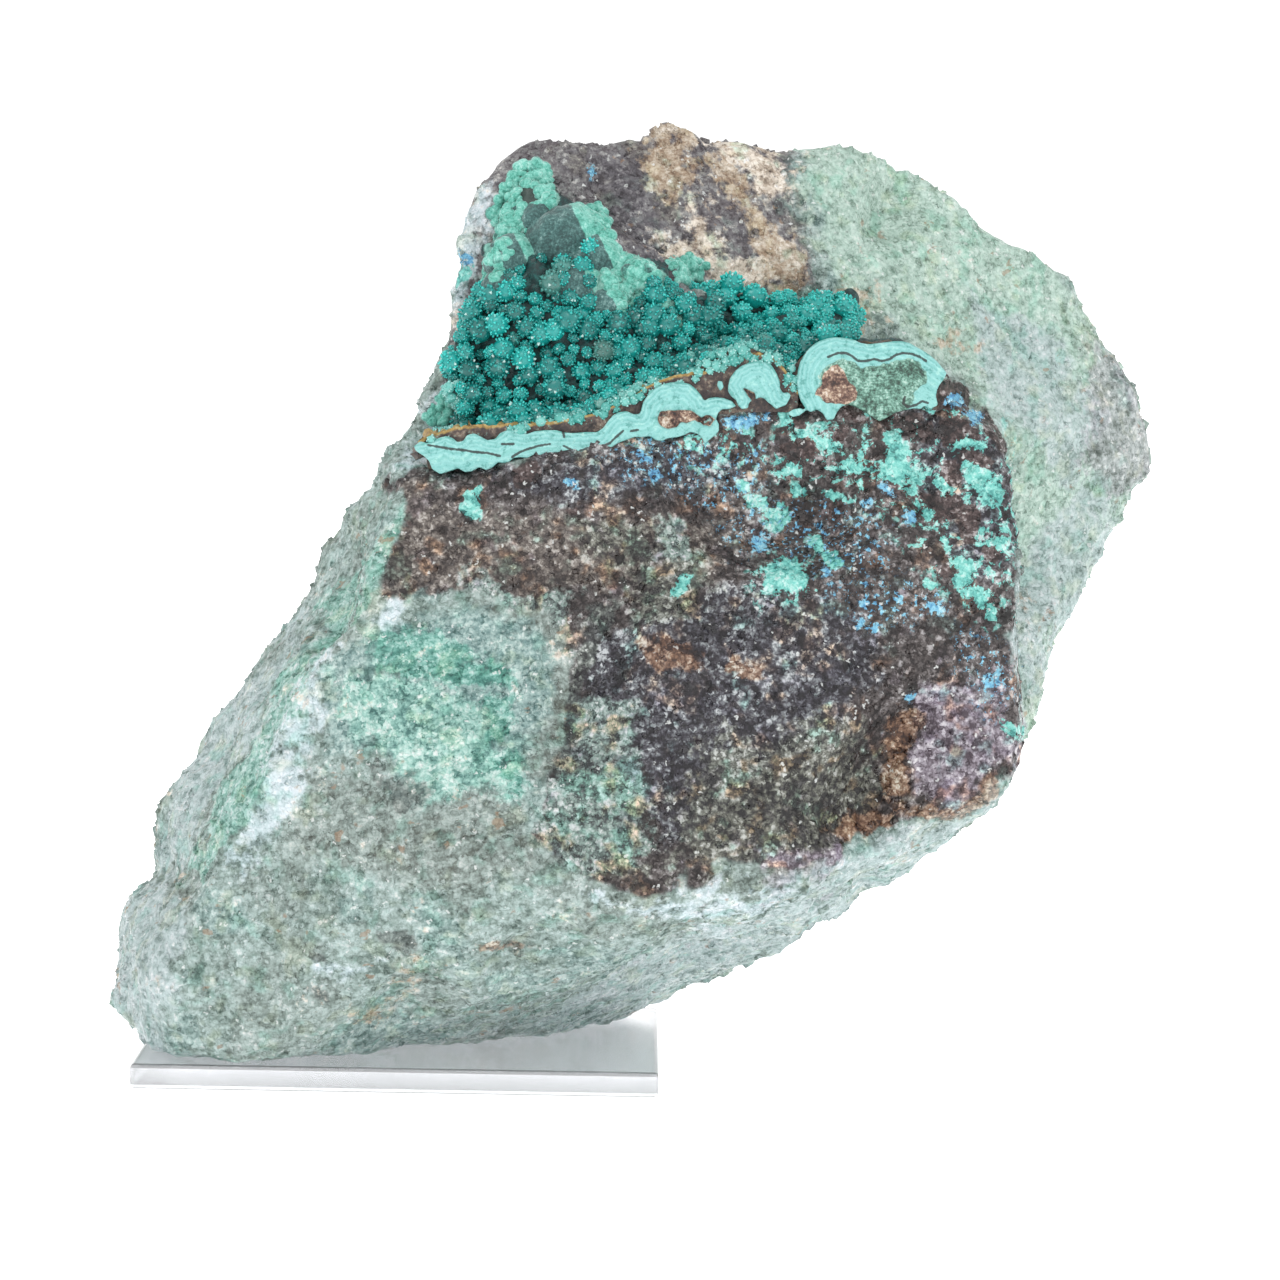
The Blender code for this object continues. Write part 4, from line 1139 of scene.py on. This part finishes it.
def makeClusters(name, settings, seed, material, keep):
    rng = np.random.default_rng(seed)
    spots, facing = surfaceSamples(crustGround, settings["tries"], rng, keep)
    kept = thin(spots, settings["gap"] * mm)
    spots, facing = spots[kept], facing[kept]
    px, py, depth = photoPixels(spots)
    good = inOutlines(px, py, settings["areas"]) > 0.4
    spots, facing = spots[good], facing[good]
    count = len(spots)
    radii = rng.uniform(*settings["radius"], count) * mm
    centres = spots + facing * (radii * rng.uniform(0.0, 0.7, count))[:, None]
    px, py, depth = photoPixels(spots)
    tints = np.clip(rng.random(count) ** 1.4 + settings["paler"] * soft(4.0, 8.0, depth), 0.0, 1.0)
    dusts = rng.random(count) * soft(9.0, 5.0, depth)

    bpy.ops.object.select_all(action="DESELECT")
    bpy.ops.mesh.primitive_ico_sphere_add(subdivisions=2, radius=0.95)
    cores = joinCopies(name + "Cores", shapeOf(bpy.context.object), turnsAlong(facing, radii, radii, rng), centres,
                       {"tint": tints * 0.8, "tip": np.full(count, 0.25), "dust": dusts, "paintedSparkle": np.zeros(count)})

    each = settings["crystals"]
    heights = 1.0 - 2.0 * (np.arange(each) + 0.5) / each
    rings = np.sqrt(1.0 - heights ** 2)
    around = np.arange(each) * math.pi * (3.0 - math.sqrt(5.0))
    ball = np.stack([rings * np.cos(around), rings * np.sin(around), heights], axis=1)
    directions = unit(np.tile(ball, (count, 1)) + rng.normal(0.0, 0.2, (count * each, 3)))
    owner = np.repeat(np.arange(count), each)
    outward = np.einsum("ij,ij->i", directions, facing[owner]) > -0.2
    directions, owner = directions[outward], owner[outward]
    share = radii[owner] / (settings["radius"][1] * mm)
    lengths = rng.uniform(*settings["length"], len(owner)) * mm * share
    widths = rng.uniform(*settings["width"], len(owner)) * mm * (0.4 + 0.6 * share)
    roots = centres[owner] + directions * (radii[owner] - lengths * 0.55)[:, None]
    shape = crystalShape()
    blades = joinCopies(name, shape, turnsAlong(directions, widths, lengths, rng), roots, {
        "tint": np.clip(tints[owner] + rng.normal(0.0, 0.2, len(owner)), 0.0, 1.0),
        "tip": np.tile(np.clip(shape[0][:, 2], 0.0, 1.0), (len(owner), 1)), "dust": dusts[owner],
        "paintedSparkle": rng.random(len(owner))})
    onlySelect(blades)
    cores.select_set(True)
    bpy.ops.object.join()
    blades.data.materials.append(material)
    finishPiece(blades, "crystal")
    print(name, count, "clusters", triangleCount(blades))


def inHollow(settings, behind):
    def keep(centres, facing):
        px, py, depth = photoPixels(centres)
        inside = inOutlines(px, py, settings["areas"])
        return (inside > 0.5) * soft(*behind, depth) * soft(-0.6, 0.0, -(facing @ forward)) + 1e-9
    return keep


makeClusters("brochantiteDruse", druse, 7, makeDruseMaterial(
    "brochantite", [(0, 84, 80), (0, 160, 154)], [(0, 146, 140), (60, 224, 214)], (124, 234, 226)), inHollow(druse, (0.9, 1.6)))
makeClusters("lipCrumbs", lipCrumbs, 8, makeDruseMaterial(
    "mintCrumbs", [(56, 156, 146), (124, 206, 196)], [(112, 204, 196), (182, 232, 226)], (214, 242, 238)),
    inHollow(lipCrumbs, (0.2, 0.6)))


# Velvety malachite globes with pale rims, on the mound at the back of the hollow

globes = {
    "balls": [(566, 246, 46, 0.45), (596, 262, 30, 0.3), (578, 290, 30, 0.5), (512, 262, 30, 0.5), (502, 290, 22, 0.4),
              (542, 222, 24, 0.4), (655, 292, 15, 0.2), (606, 304, 18, 0.4)],      # pixel, radius in pixels, sink
    "rimSide": (0.86, 0.4, 0.0),       # right, up, towards the viewer
    "fuzz": (0.16, 0.1),
}


def makeVelvetMaterial():
    material, nodes, shader = newMaterial("velvetMalachite")
    place = nodes.place()
    fine = nodes.noise(place, 0.16, 4.0, 0.7)
    drift = nodes.noise(place, 0.9, 4.0, 0.65)
    level = nodes.math("MULTIPLY_ADD", nodes.math("SUBTRACT", drift, 0.5), 0.8, fine)
    velvet = nodes.ramp(level, [(0.25, rgb(28, 54, 54)), (0.45, rgb(50, 90, 88)), (0.6, rgb(80, 124, 120)),
                                (0.78, rgb(150, 180, 178))])
    mint = nodes.ramp(level, [(0.22, rgb(44, 118, 104)), (0.4, rgb(84, 172, 154)), (0.56, rgb(124, 202, 186)),
                              (0.75, rgb(180, 230, 220))])
    ragged = nodes.math("MULTIPLY_ADD", nodes.math("SUBTRACT", drift, 0.5), 0.8, nodes.attribute("rim"))
    color = nodes.mix(nodes.step(ragged, 0.35, 0.6), velvet, mint)
    bump = nodes.add("ShaderNodeBump", {"Strength": 0.6, "Distance": 0.00008, "Height": fine}).outputs[0]
    connect(nodes, shader, Base_Color=color, Normal=bump)
    shader.inputs["Roughness"].default_value = 0.75
    shader.inputs["Sheen Weight"].default_value = 0.35
    shader.inputs["Sheen Roughness"].default_value = 0.4
    return material


def makeGlobes():
    pieces = []
    side = np.array(globes["rimSide"])
    rimAxis = Vector(rightward * side[0] + upward * side[1] - forward * side[2]).normalized()
    for px, py, size, sink in globes["balls"]:
        hit, facing = seenAt(px, py, hollowTrees)
        radius = size * pixelSize * mm
        bpy.ops.object.select_all(action="DESELECT")
        bpy.ops.mesh.primitive_ico_sphere_add(subdivisions=5, radius=radius,
                                              location=Vector(hit + forward * radius * (0.2 + sink)))
        ball = bpy.context.object
        bpy.ops.object.transform_apply(location=True)
        displace(ball, "CLOUDS", 1.1, size * 0.012, noise_depth=2)
        displace(ball, "CLOUDS", *globes["fuzz"], noise_depth=1)
        middleOf = hit + forward * radius * (0.2 + sink)
        directions = unit(points(ball) - middleOf)
        attribute(ball, "rim", soft(0.35, 0.6, directions @ np.array(rimAxis)))
        pieces.append(ball)
    onlySelect(pieces[0])
    for piece in pieces[1:]:
        piece.select_set(True)
    bpy.ops.object.join()
    joined = pieces[0]
    joined.name = "malachiteGlobes"
    joined.data.materials.append(makeVelvetMaterial())
    smoothShade(joined)
    finishPiece(joined, "crystal")
    print("globes", triangleCount(joined))


makeGlobes()


# Pale botryoidal malachite, as a crust of small round buttons

def makeButtons():
    rng = np.random.default_rng(12)

    def keep(centres, facing):
        px, py, depth = photoPixels(centres)
        inside = inOutlines(px, py, buttons["areas"]) * (1.0 - outlineWeight(px, py, buttons["shadedHole"], 2))
        return (inside > 0.5) * soft(-0.4, 0.1, -(facing @ forward)) * (depth < 14.0) + 1e-9
    found = [surfaceSamples(obj, buttons["tries"], rng, keep) for obj in (crustGround, stoneSkin)]
    spots = np.concatenate([spots for spots, facing in found])
    facing = np.concatenate([facing for spots, facing in found])
    px, py, depth = photoPixels(spots)
    good = (inOutlines(px, py, buttons["areas"]) * (1.0 - outlineWeight(px, py, buttons["shadedHole"], 2)) > 0.4) & (depth < 14)
    spots, facing = spots[good], facing[good]
    kept = thin(spots, buttons["gap"] * mm)
    spots, facing = spots[kept], facing[kept]
    count = len(spots)
    radii = rng.uniform(*buttons["radius"], count) * mm
    bpy.ops.object.select_all(action="DESELECT")
    bpy.ops.mesh.primitive_ico_sphere_add(subdivisions=2, radius=1.0)
    shape = shapeOf(bpy.context.object)
    turns = turnsAlong(unit(facing + rng.normal(0, 0.3, (count, 3))), radii, radii * rng.uniform(0.6, 1.0, count), rng)
    px, py, depth = photoPixels(spots)
    obj = joinCopies("mintButtons", shape, turns, spots, {"rim": np.clip(rng.normal(0.9, 0.2, count), 0, 1)})
    displace(obj, "CLOUDS", 0.3, 0.1, noise_depth=1)
    obj.data.materials.append(bpy.data.materials["velvetMalachite"])
    smoothShade(obj)
    finishPiece(obj, "crystal")
    print("buttons", count, len(obj.data.polygons))


makeButtons()


# The malachite vein along the lip, broken across so that its bands show

vein = {
    "depth": 0.15,            # mm behind the plane in focus
    "proud": 0.14,            # mm that the broken face stands out
    "thick": 1.3,             # mm front to back
    "voxel": 0.078,           # mm
    "outlines": {
        "seam": [(414, 446), (420, 441), (427, 443), (433, 442), (438, 438), (446, 436), (453, 438), (457, 442),
                 (463, 441), (467, 435), (474, 433), (480, 436), (487, 440), (495, 439), (500, 433), (507, 430),
                 (515, 430), (521, 433), (527, 434), (535, 431), (546, 430), (556, 430), (563, 432), (572, 433),
                 (586, 432), (597, 432), (603, 428), (608, 421), (613, 415), (619, 412), (627, 411), (633, 414),
                 (640, 414), (643, 402), (648, 395), (655, 388), (663, 384), (672, 382), (682, 382), (690, 384),
                 (696, 389), (701, 395), (704, 401), (709, 398), (716, 397), (724, 398), (732, 401), (736, 406),
                 (729, 409), (722, 409), (718, 413), (716, 419), (719, 424), (719, 431), (714, 436), (709, 440),
                 (705, 444), (702, 438), (696, 433), (690, 432), (684, 435), (678, 437), (668, 438), (662, 441),
                 (656, 440), (650, 436), (642, 437), (634, 437), (626, 440), (618, 443), (612, 447), (604, 450),
                 (594, 453), (586, 456), (576, 459), (566, 457), (558, 454), (550, 453), (540, 456), (528, 458),
                 (519, 457), (513, 458), (509, 462), (503, 463), (498, 462), (493, 467), (486, 470), (479, 467),
                 (472, 471), (465, 472), (458, 468), (449, 471), (440, 474), (432, 469), (429, 461), (424, 456),
                 (419, 453), (415, 450)],
        "curl": [(728, 386), (730, 378), (735, 371), (741, 366), (748, 363), (755, 361), (762, 361), (769, 362),
                 (773, 367), (777, 374), (780, 382), (780, 388), (783, 393), (788, 392), (791, 395), (789, 400),
                 (786, 405), (780, 407), (776, 409), (772, 405), (768, 402), (764, 398), (760, 397), (756, 399),
                 (752, 400), (749, 403), (748, 408), (742, 409), (738, 405), (736, 400), (731, 396), (728, 391)],
        "chip": [(717, 385), (718, 381), (722, 381), (724, 387), (720, 391)],
        "crumb": [(787, 413), (794, 409), (801, 408), (805, 411), (800, 415), (793, 417)],
        "big": [(806, 409), (801, 401), (798, 392), (797, 382), (798, 370), (801, 359), (806, 351), (812, 345),
                (819, 341), (828, 338), (837, 337), (847, 338), (855, 340), (861, 343), (869, 344), (878, 343),
                (886, 342), (894, 341), (902, 341), (910, 343), (917, 347), (924, 351), (931, 356), (937, 361),
                (942, 367), (947, 373), (944, 379), (940, 384), (937, 390), (936, 396),
                (938, 405), (930, 409), (925, 405), (921, 409), (914, 408), (905, 410), (896, 412), (888, 417),
                (880, 421), (872, 416), (864, 411), (857, 407), (849, 404), (842, 406), (837, 412), (834, 419),
                (827, 420), (823, 413), (817, 409), (811, 412)],
    },
    # the outer edges that the bands run along
    "skylines": [
        [(414, 446), (433, 442), (446, 436), (457, 442), (467, 435), (480, 436), (495, 439), (507, 430), (521, 433),
         (546, 430), (572, 433), (597, 432), (613, 415), (627, 411), (640, 414), (643, 402), (655, 388), (672, 382),
         (690, 384), (701, 395), (704, 401), (716, 397), (732, 401)],
        [(736, 400), (728, 386), (735, 371), (748, 363), (762, 361), (773, 367), (780, 382), (786, 394)],
        [(806, 409), (798, 392), (798, 370), (806, 351), (819, 341), (837, 337), (855, 340), (869, 344), (886, 342),
         (902, 341), (917, 347), (931, 356), (945, 367), (961, 377)]],
    "cracks": [
        [(428, 445), (440, 447), (452, 449), (463, 450), (475, 452), (487, 453), (500, 456)],
        [(512, 457), (520, 452), (528, 449), (538, 446), (550, 444)],
        [(564, 446), (572, 450), (576, 456), (580, 451), (588, 448)],
        [(590, 451), (594, 447), (604, 446), (610, 443), (616, 437), (623, 431)],
        [(631, 431), (638, 430)], [(563, 431), (564, 437)], [(502, 444), (514, 444)],
        [(828, 357), (838, 353), (846, 353), (852, 356), (858, 361), (866, 361), (874, 359), (882, 361), (890, 359),
         (896, 355), (903, 353), (912, 354), (920, 357), (926, 361)],
        [(905, 397), (903, 403), (908, 407), (916, 405), (922, 401), (928, 403)],
        [(797, 366), (802, 356), (808, 348), (814, 343)]],
    "heart": [(820, 399), (818, 388), (821, 376), (826, 367), (833, 361), (842, 359), (851, 362), (860, 366), (870, 365),
              (880, 365), (890, 364), (898, 360), (908, 358), (918, 362), (925, 368), (928, 376), (924, 384),
              (916, 392), (914, 402), (906, 412), (896, 418), (886, 424), (876, 424), (866, 418), (856, 410), (845, 404),
              (832, 403)],
    "quartz": [(817, 395), (819, 388), (822, 380), (826, 372), (831, 366), (838, 364), (843, 369), (845, 376), (850, 384),
               (856, 389), (859, 394), (855, 400), (849, 403), (841, 404), (833, 404), (827, 401), (821, 398)],
    "hollows": [
        [(658, 418), (660, 412), (668, 409), (680, 409), (690, 411), (700, 416), (710, 416), (715, 420), (711, 425),
         (705, 426), (699, 421), (690, 422), (680, 424), (676, 428), (667, 428), (660, 425)],
        [(744, 390), (748, 388), (753, 392), (756, 399), (752, 401), (748, 396)]],
    "sunk": 0.3,              # mm that the hollows are sunk
}


def lineDistance(px, py, lines):
    nearest = np.full(px.shape, 1e9)
    for line in lines:
        corners = np.array(line, dtype=float)
        for first, last in zip(corners[:-1], corners[1:]):
            along = last - first
            share = np.clip(((px - first[0]) * along[0] + (py - first[1]) * along[1]) / (along @ along), 0.0, 1.0)
            nearest = np.minimum(nearest, np.hypot(px - first[0] - share * along[0], py - first[1] - share * along[1]))
    return nearest * pixelSize


def makeVeinMaterial():
    material, nodes, shader = newMaterial("bandedMalachite")
    place = nodes.place()
    wobble = nodes.noise(place, 0.7, 4.0, 0.6)
    fine = nodes.noise(place, 0.18, 4.0, 0.7)
    chalky = nodes.noise(place, 0.45, 4.0, 0.74)
    edge = nodes.math("MULTIPLY_ADD", nodes.math("SUBTRACT", wobble, 0.5), 0.42, nodes.attribute("fromEdge"))   # mm
    color = nodes.ramp(nodes.math("DIVIDE", edge, 1.8), [
        (0.0, rgb(97, 173, 166)), (0.05, rgb(146, 205, 202)), (0.12, rgb(120, 190, 186)), (0.19, rgb(153, 213, 210)),
        (0.27, rgb(118, 188, 184)), (0.34, rgb(146, 207, 204)), (0.42, rgb(128, 196, 192)), (0.5, rgb(155, 215, 212)),
        (0.6, rgb(128, 196, 190)), (0.72, rgb(146, 207, 204)), (0.85, rgb(126, 194, 190)), (1.0, rgb(142, 204, 200))])
    hair = nodes.math("SINE", nodes.math("MULTIPLY", edge, 38.0))
    color = nodes.mix(nodes.math("MULTIPLY", nodes.step(hair, 0.3, 1.0, 0.0, 0.24), nodes.step(chalky, 0.62, 0.4)), color,
                      rgb(70, 144, 132))
    color = nodes.mix(nodes.step(chalky, 0.54, 0.68, 0.0, 0.65), color, rgb(176, 228, 218))
    color = nodes.mix(nodes.step(chalky, 0.47, 0.33, 0.0, 0.8), color, rgb(74, 150, 142))
    color = nodes.mix(nodes.step(fine, 0.42, 0.28, 0.0, 0.6), color, rgb(64, 132, 122))
    level = nodes.math("MULTIPLY_ADD", nodes.math("SUBTRACT", wobble, 0.5), 1.1, fine)
    fibrous = nodes.ramp(nodes.math("MULTIPLY_ADD", hair, 0.03, level), [
        (0.26, rgb(30, 50, 42)), (0.4, rgb(62, 100, 86)), (0.5, rgb(94, 138, 122)), (0.6, rgb(128, 176, 160)),
        (0.76, rgb(186, 216, 204))])
    quartz = nodes.ramp(level, [(0.24, rgb(44, 26, 22)), (0.4, rgb(92, 64, 54)), (0.52, rgb(142, 112, 96)),
                                (0.62, rgb(190, 166, 142)), (0.76, rgb(236, 226, 214))])
    ragged = nodes.math("MULTIPLY", nodes.math("SUBTRACT", level, 0.5), 1.1)
    color = nodes.mix(nodes.step(nodes.math("ADD", nodes.attribute("heart"), ragged), 0.4, 0.6), color, fibrous)
    color = nodes.mix(nodes.step(nodes.attribute("quartz"), 0.35, 0.65), color, quartz)
    crack = nodes.math("MULTIPLY_ADD", nodes.math("SUBTRACT", chalky, 0.5), 0.16, nodes.attribute("crack"))
    color = nodes.mix(nodes.step(crack, 0.1, 0.05, 0.0, 0.92), color, rgb(34, 40, 38))
    bump = nodes.add("ShaderNodeBump", {"Strength": 0.6, "Distance": 0.00008,
                                        "Height": nodes.math("MULTIPLY_ADD", hair, 0.1, fine)}).outputs[0]
    connect(nodes, shader, Base_Color=color, Roughness=nodes.step(fine, 0.3, 0.7, 0.4, 0.65), Normal=bump)
    return material


def cutPlate(name, outline):
    # a flat plate facing the camera, cut to an outline in the photograph
    corners = [photoPoint(px, py, vein["depth"] - vein["proud"]) for px, py in outline]
    mesh = bpy.data.meshes.new(name)
    mesh.from_pydata(corners, [], [tuple(range(len(corners)))])
    obj = bpy.data.objects.new(name, mesh)
    bpy.context.scene.collection.objects.link(obj)
    onlySelect(obj)
    bpy.ops.object.mode_set(mode="EDIT")
    bpy.ops.mesh.select_mode(type="FACE")
    bpy.ops.mesh.select_all(action="SELECT")
    bpy.ops.mesh.extrude_region_move(TRANSFORM_OT_translate={"value": tuple(forward * vein["thick"] * mm)})
    bpy.ops.mesh.select_all(action="SELECT")
    bpy.ops.mesh.normals_make_consistent(inside=False)
    bpy.ops.object.mode_set(mode="OBJECT")
    return obj


def makeVein():
    plates = [cutPlate(name, outline) for name, outline in vein["outlines"].items()]
    obj = plates[0]
    onlySelect(obj)
    for plate in plates[1:]:
        plate.select_set(True)
    bpy.ops.object.join()
    obj.name = "malachiteVein"
    remesh(obj, vein["voxel"], 3)
    places = points(obj)
    px, py, depth = photoPixels(places)
    warp = wander(places, 0.5) * 3.0
    edge = lineDistance(px, py, vein["skylines"])
    quartz = outlineWeight(px + warp[:, 0], py + warp[:, 1], vein["quartz"], 2)
    hollow = inOutlines(px + warp[:, 0], py + warp[:, 1], vein["hollows"], 2)
    attribute(obj, "fromEdge", edge)
    attribute(obj, "crack", lineDistance(px, py, vein["cracks"]))
    attribute(obj, "heart", outlineWeight(px + warp[:, 0], py + warp[:, 1], vein["heart"], 4))
    attribute(obj, "quartz", np.maximum(quartz, hollow))
    rough = np.array([0.07 * noise.noise(Vector(spot) / (0.9 * mm)) + 0.05 * noise.noise(Vector(spot) / (0.25 * mm))
                      for spot in places])
    sunk = vein["sunk"] * hollow + rough * (1.0 + 1.5 * np.maximum(quartz, hollow))
    places += (sunk * mm)[:, None] * forward
    movePoints(obj, places)
    obj.data.materials.append(makeVeinMaterial())
    smoothShade(obj)
    finishPiece(obj, "crystal")
    print("malachiteVein", triangleCount(obj))


def smoothPath(corners, step, closed=False):
    # even steps along a curve through the corners
    corners = np.array(corners, dtype=float)
    if closed:
        ends = np.vstack([corners[-1:], corners, corners[:2]])
    else:
        ends = np.vstack([2 * corners[0] - corners[1], corners, 2 * corners[-1] - corners[-2]])
    fine = []
    for index in range(1, len(ends) - 2):
        before, start, end, after = ends[index - 1:index + 3]
        for share in np.linspace(0.0, 1.0, 24, endpoint=False):
            fine.append(0.5 * (2 * start + (end - before) * share
                               + (2 * before - 5 * start + 4 * end - after) * share ** 2
                               + (3 * start - before - 3 * end + after) * share ** 3))
    fine.append(ends[-2])
    fine = np.array(fine)
    lengths = np.concatenate([[0.0], np.cumsum(np.linalg.norm(np.diff(fine, axis=0), axis=1))])
    if closed is False:
        marks = np.arange(0.0, lengths[-1], step)      # even steps
    else:
        marks = np.linspace(0.0, lengths[-1], step, endpoint=not closed)      # this many points
    return np.stack([np.interp(marks, lengths, fine[:, axis]) for axis in (0, 1)], axis=1)


def facePlate(name, grid, closed, thick, values):
    # a sheet from rows of points, turned to the viewer and given its thickness
    rows, columns = len(grid), len(grid[0])
    faces = []
    for row in range(rows if closed else rows - 1):
        nextRow = (row + 1) % rows
        for column in range(columns - 1):
            faces.append((row * columns + column, row * columns + column + 1, nextRow * columns + column + 1,
                          nextRow * columns + column))
    mesh = bpy.data.meshes.new(name)
    mesh.from_pydata([point for row in grid for point in row], [], faces)
    obj = bpy.data.objects.new(name, mesh)
    bpy.context.scene.collection.objects.link(obj)
    for key, numbers in values.items():
        attribute(obj, key, numbers)
    onlySelect(obj)
    bpy.ops.object.mode_set(mode="EDIT")
    bpy.ops.mesh.select_all(action="SELECT")
    if closed:
        bpy.ops.mesh.remove_doubles(threshold=0.00001)
    bpy.ops.mesh.normals_make_consistent(inside=False)
    bpy.ops.object.mode_set(mode="OBJECT")
    if sum(face.normal.y * face.area for face in obj.data.polygons) > 0:
        bpy.ops.object.mode_set(mode="EDIT")
        bpy.ops.mesh.flip_normals()
        bpy.ops.object.mode_set(mode="OBJECT")
    wall = obj.modifiers.new("depth", "SOLIDIFY")
    wall.thickness = thick * mm
    wall.offset = -1.0
    applyAll(obj)
    return obj


lipLayer = {
    # the gold line along the top of the dark layer, and the line that the layer goes down to
    "top": [(418, 441), (440, 431), (475, 425), (520, 424), (564, 420), (600, 411), (618, 404), (636, 394), (648, 386),
            (664, 379), (682, 374), (700, 371), (716, 366), (728, 360), (742, 355), (758, 353), (772, 358), (784, 368),
            (792, 382), (798, 392)],
    "bottom": [(418, 458), (440, 454), (475, 450), (520, 448), (564, 440), (600, 430), (618, 426), (636, 422), (648, 420),
               (664, 416), (682, 414), (700, 414), (716, 414), (728, 414), (742, 412), (758, 412), (772, 412),
               (784, 412), (792, 412), (798, 410)],
    "rows": 220,
    "across": 12,
}


def makeLipMaterial():
    material, nodes, shader = newMaterial("darkLipLayer")
    place = nodes.place()
    fine = nodes.noise(place, 0.3, 5.0, 0.72)
    drift = nodes.noise(place, 0.8, 4.0, 0.65)
    dark = nodes.ramp(nodes.math("MULTIPLY_ADD", nodes.math("SUBTRACT", drift, 0.5), 0.9, fine), [
        (0.25, rgb(22, 16, 18)), (0.45, rgb(56, 44, 42)), (0.58, rgb(92, 76, 68)), (0.7, rgb(140, 124, 108)),
        (0.85, rgb(206, 204, 196))])
    gold = nodes.ramp(fine, [(0.3, rgb(104, 76, 34)), (0.5, rgb(166, 134, 70)), (0.7, rgb(206, 186, 128))])
    top = nodes.math("MULTIPLY_ADD", nodes.math("SUBTRACT", drift, 0.5), 0.35, nodes.attribute("fromEdge"))
    color = nodes.mix(nodes.step(top, 0.26, 0.12), dark, gold)
    color = nodes.mix(nodes.math("MULTIPLY", nodes.step(fine, 0.62, 0.66), 0.6), color, rgb(112, 196, 188))
    bump = nodes.add("ShaderNodeBump", {"Strength": 0.8, "Distance": 0.0001, "Height": fine}).outputs[0]
    connect(nodes, shader, Base_Color=color, Roughness=nodes.step(fine, 0.4, 0.7, 0.35, 0.7), Normal=bump)
    return material


def lipPlate():
    rows = lipLayer["rows"]
    upper = smoothPath(lipLayer["top"], rows, closed=None)
    lower = smoothPath(lipLayer["bottom"], rows, closed=None)
    grid, edges = [], []
    for index, (high, low) in enumerate(zip(upper, lower)):
        high = high - (0.0, 2.2 * noise.noise((index * 0.11, 4.0, 0.0)) + 1.5 * noise.noise((index * 0.4, 9.0, 0.0)))
        row = []
        for place in range(lipLayer["across"] + 1):
            share = place / lipLayer["across"]
            px, py = low * share + high * (1.0 - share)
            rough = 0.14 * noise.noise((px * 0.12, py * 0.12, 8.0)) + 0.08 * noise.noise((px * 0.45, py * 0.45, 1.0))
            row.append(photoPoint(px, py, vein["depth"] + 0.18 - rough))
            edges.append(share * np.linalg.norm(low - high) * pixelSize)
        grid.append(row)
    return facePlate("darkLip", grid, False, vein["thick"] * 0.7, {"fromEdge": edges})


def joinPieces(pieces, name, material, angle):
    onlySelect(pieces[0])
    for piece in pieces[1:]:
        piece.select_set(True)
    bpy.ops.object.join()
    joined = pieces[0]
    joined.name = name
    joined.data.materials.append(material)
    smoothShade(joined, angle)
    finishPiece(joined, "crystal")
    print(name, triangleCount(joined))


makeVein()
joinPieces([lipPlate()], "darkLip", makeLipMaterial(), 50)


# The clear base

def makeBase():
    material, nodes, shader = newMaterial("clearAcrylic")
    shader.inputs["Base Color"].default_value = (0.96, 0.975, 1.0, 1.0)
    shader.inputs["Roughness"].default_value = 0.24
    shader.inputs["IOR"].default_value = 1.49
    shader.inputs["Transmission Weight"].default_value = 1.0
    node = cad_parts["display_base"]
    node.data.materials.clear()
    node.data.materials.append(material)


makeBase()
print("base")


# Floor, light and background

studio = {"floorSize": 60.0, "floorGap": 0.03, "floorGlow": 1.0, "world": 1.2, "keyPower": 0.6, "fillPower": 0.25}


def makeStudio():
    bpy.ops.object.select_all(action="DESELECT")
    bpy.ops.mesh.primitive_plane_add(size=studio["floorSize"], location=(0, 0, -studio["floorGap"] * mm))
    floor = bpy.context.object
    floor.name = "studioFloor"
    bpy.ops.object.transform_apply(location=True)
    material, nodes, shader = newMaterial("paleFloor")
    shader.inputs["Base Color"].default_value = (0.78, 0.78, 0.785, 1.0)
    shader.inputs["Emission Color"].default_value = (1.0, 1.0, 1.0, 1.0)
    shader.inputs["Emission Strength"].default_value = studio["floorGlow"]      # a light table
    shader.inputs["Roughness"].default_value = 0.9
    shader.inputs["Specular IOR Level"].default_value = 0.1
    floor.data.materials.append(material)
    world = bpy.data.worlds.new("studio")
    world.use_nodes = True
    world.node_tree.nodes["Background"].inputs["Color"].default_value = (1.0, 1.0, 1.0, 1.0)
    world.node_tree.nodes["Background"].inputs["Strength"].default_value = studio["world"]
    bpy.context.scene.world = world
    for name, power, size, place in (
            ("keyLight", studio["keyPower"], 0.25, (-0.12, -0.25, 0.42)),
            ("fillLight", studio["fillPower"], 0.4, (0.35, -0.2, 0.3))):
        data = bpy.data.lights.new(name, "AREA")
        data.energy = power
        data.size = size
        lamp = bpy.data.objects.new(name, data)
        bpy.context.scene.collection.objects.link(lamp)
        lamp.location = place
        lamp.rotation_euler = (Vector((0.015, -0.01, 0.03)) - Vector(place)).to_track_quat("-Z", "Y").to_euler()
    bpy.context.scene.view_settings.view_transform = "Standard"


makeStudio()
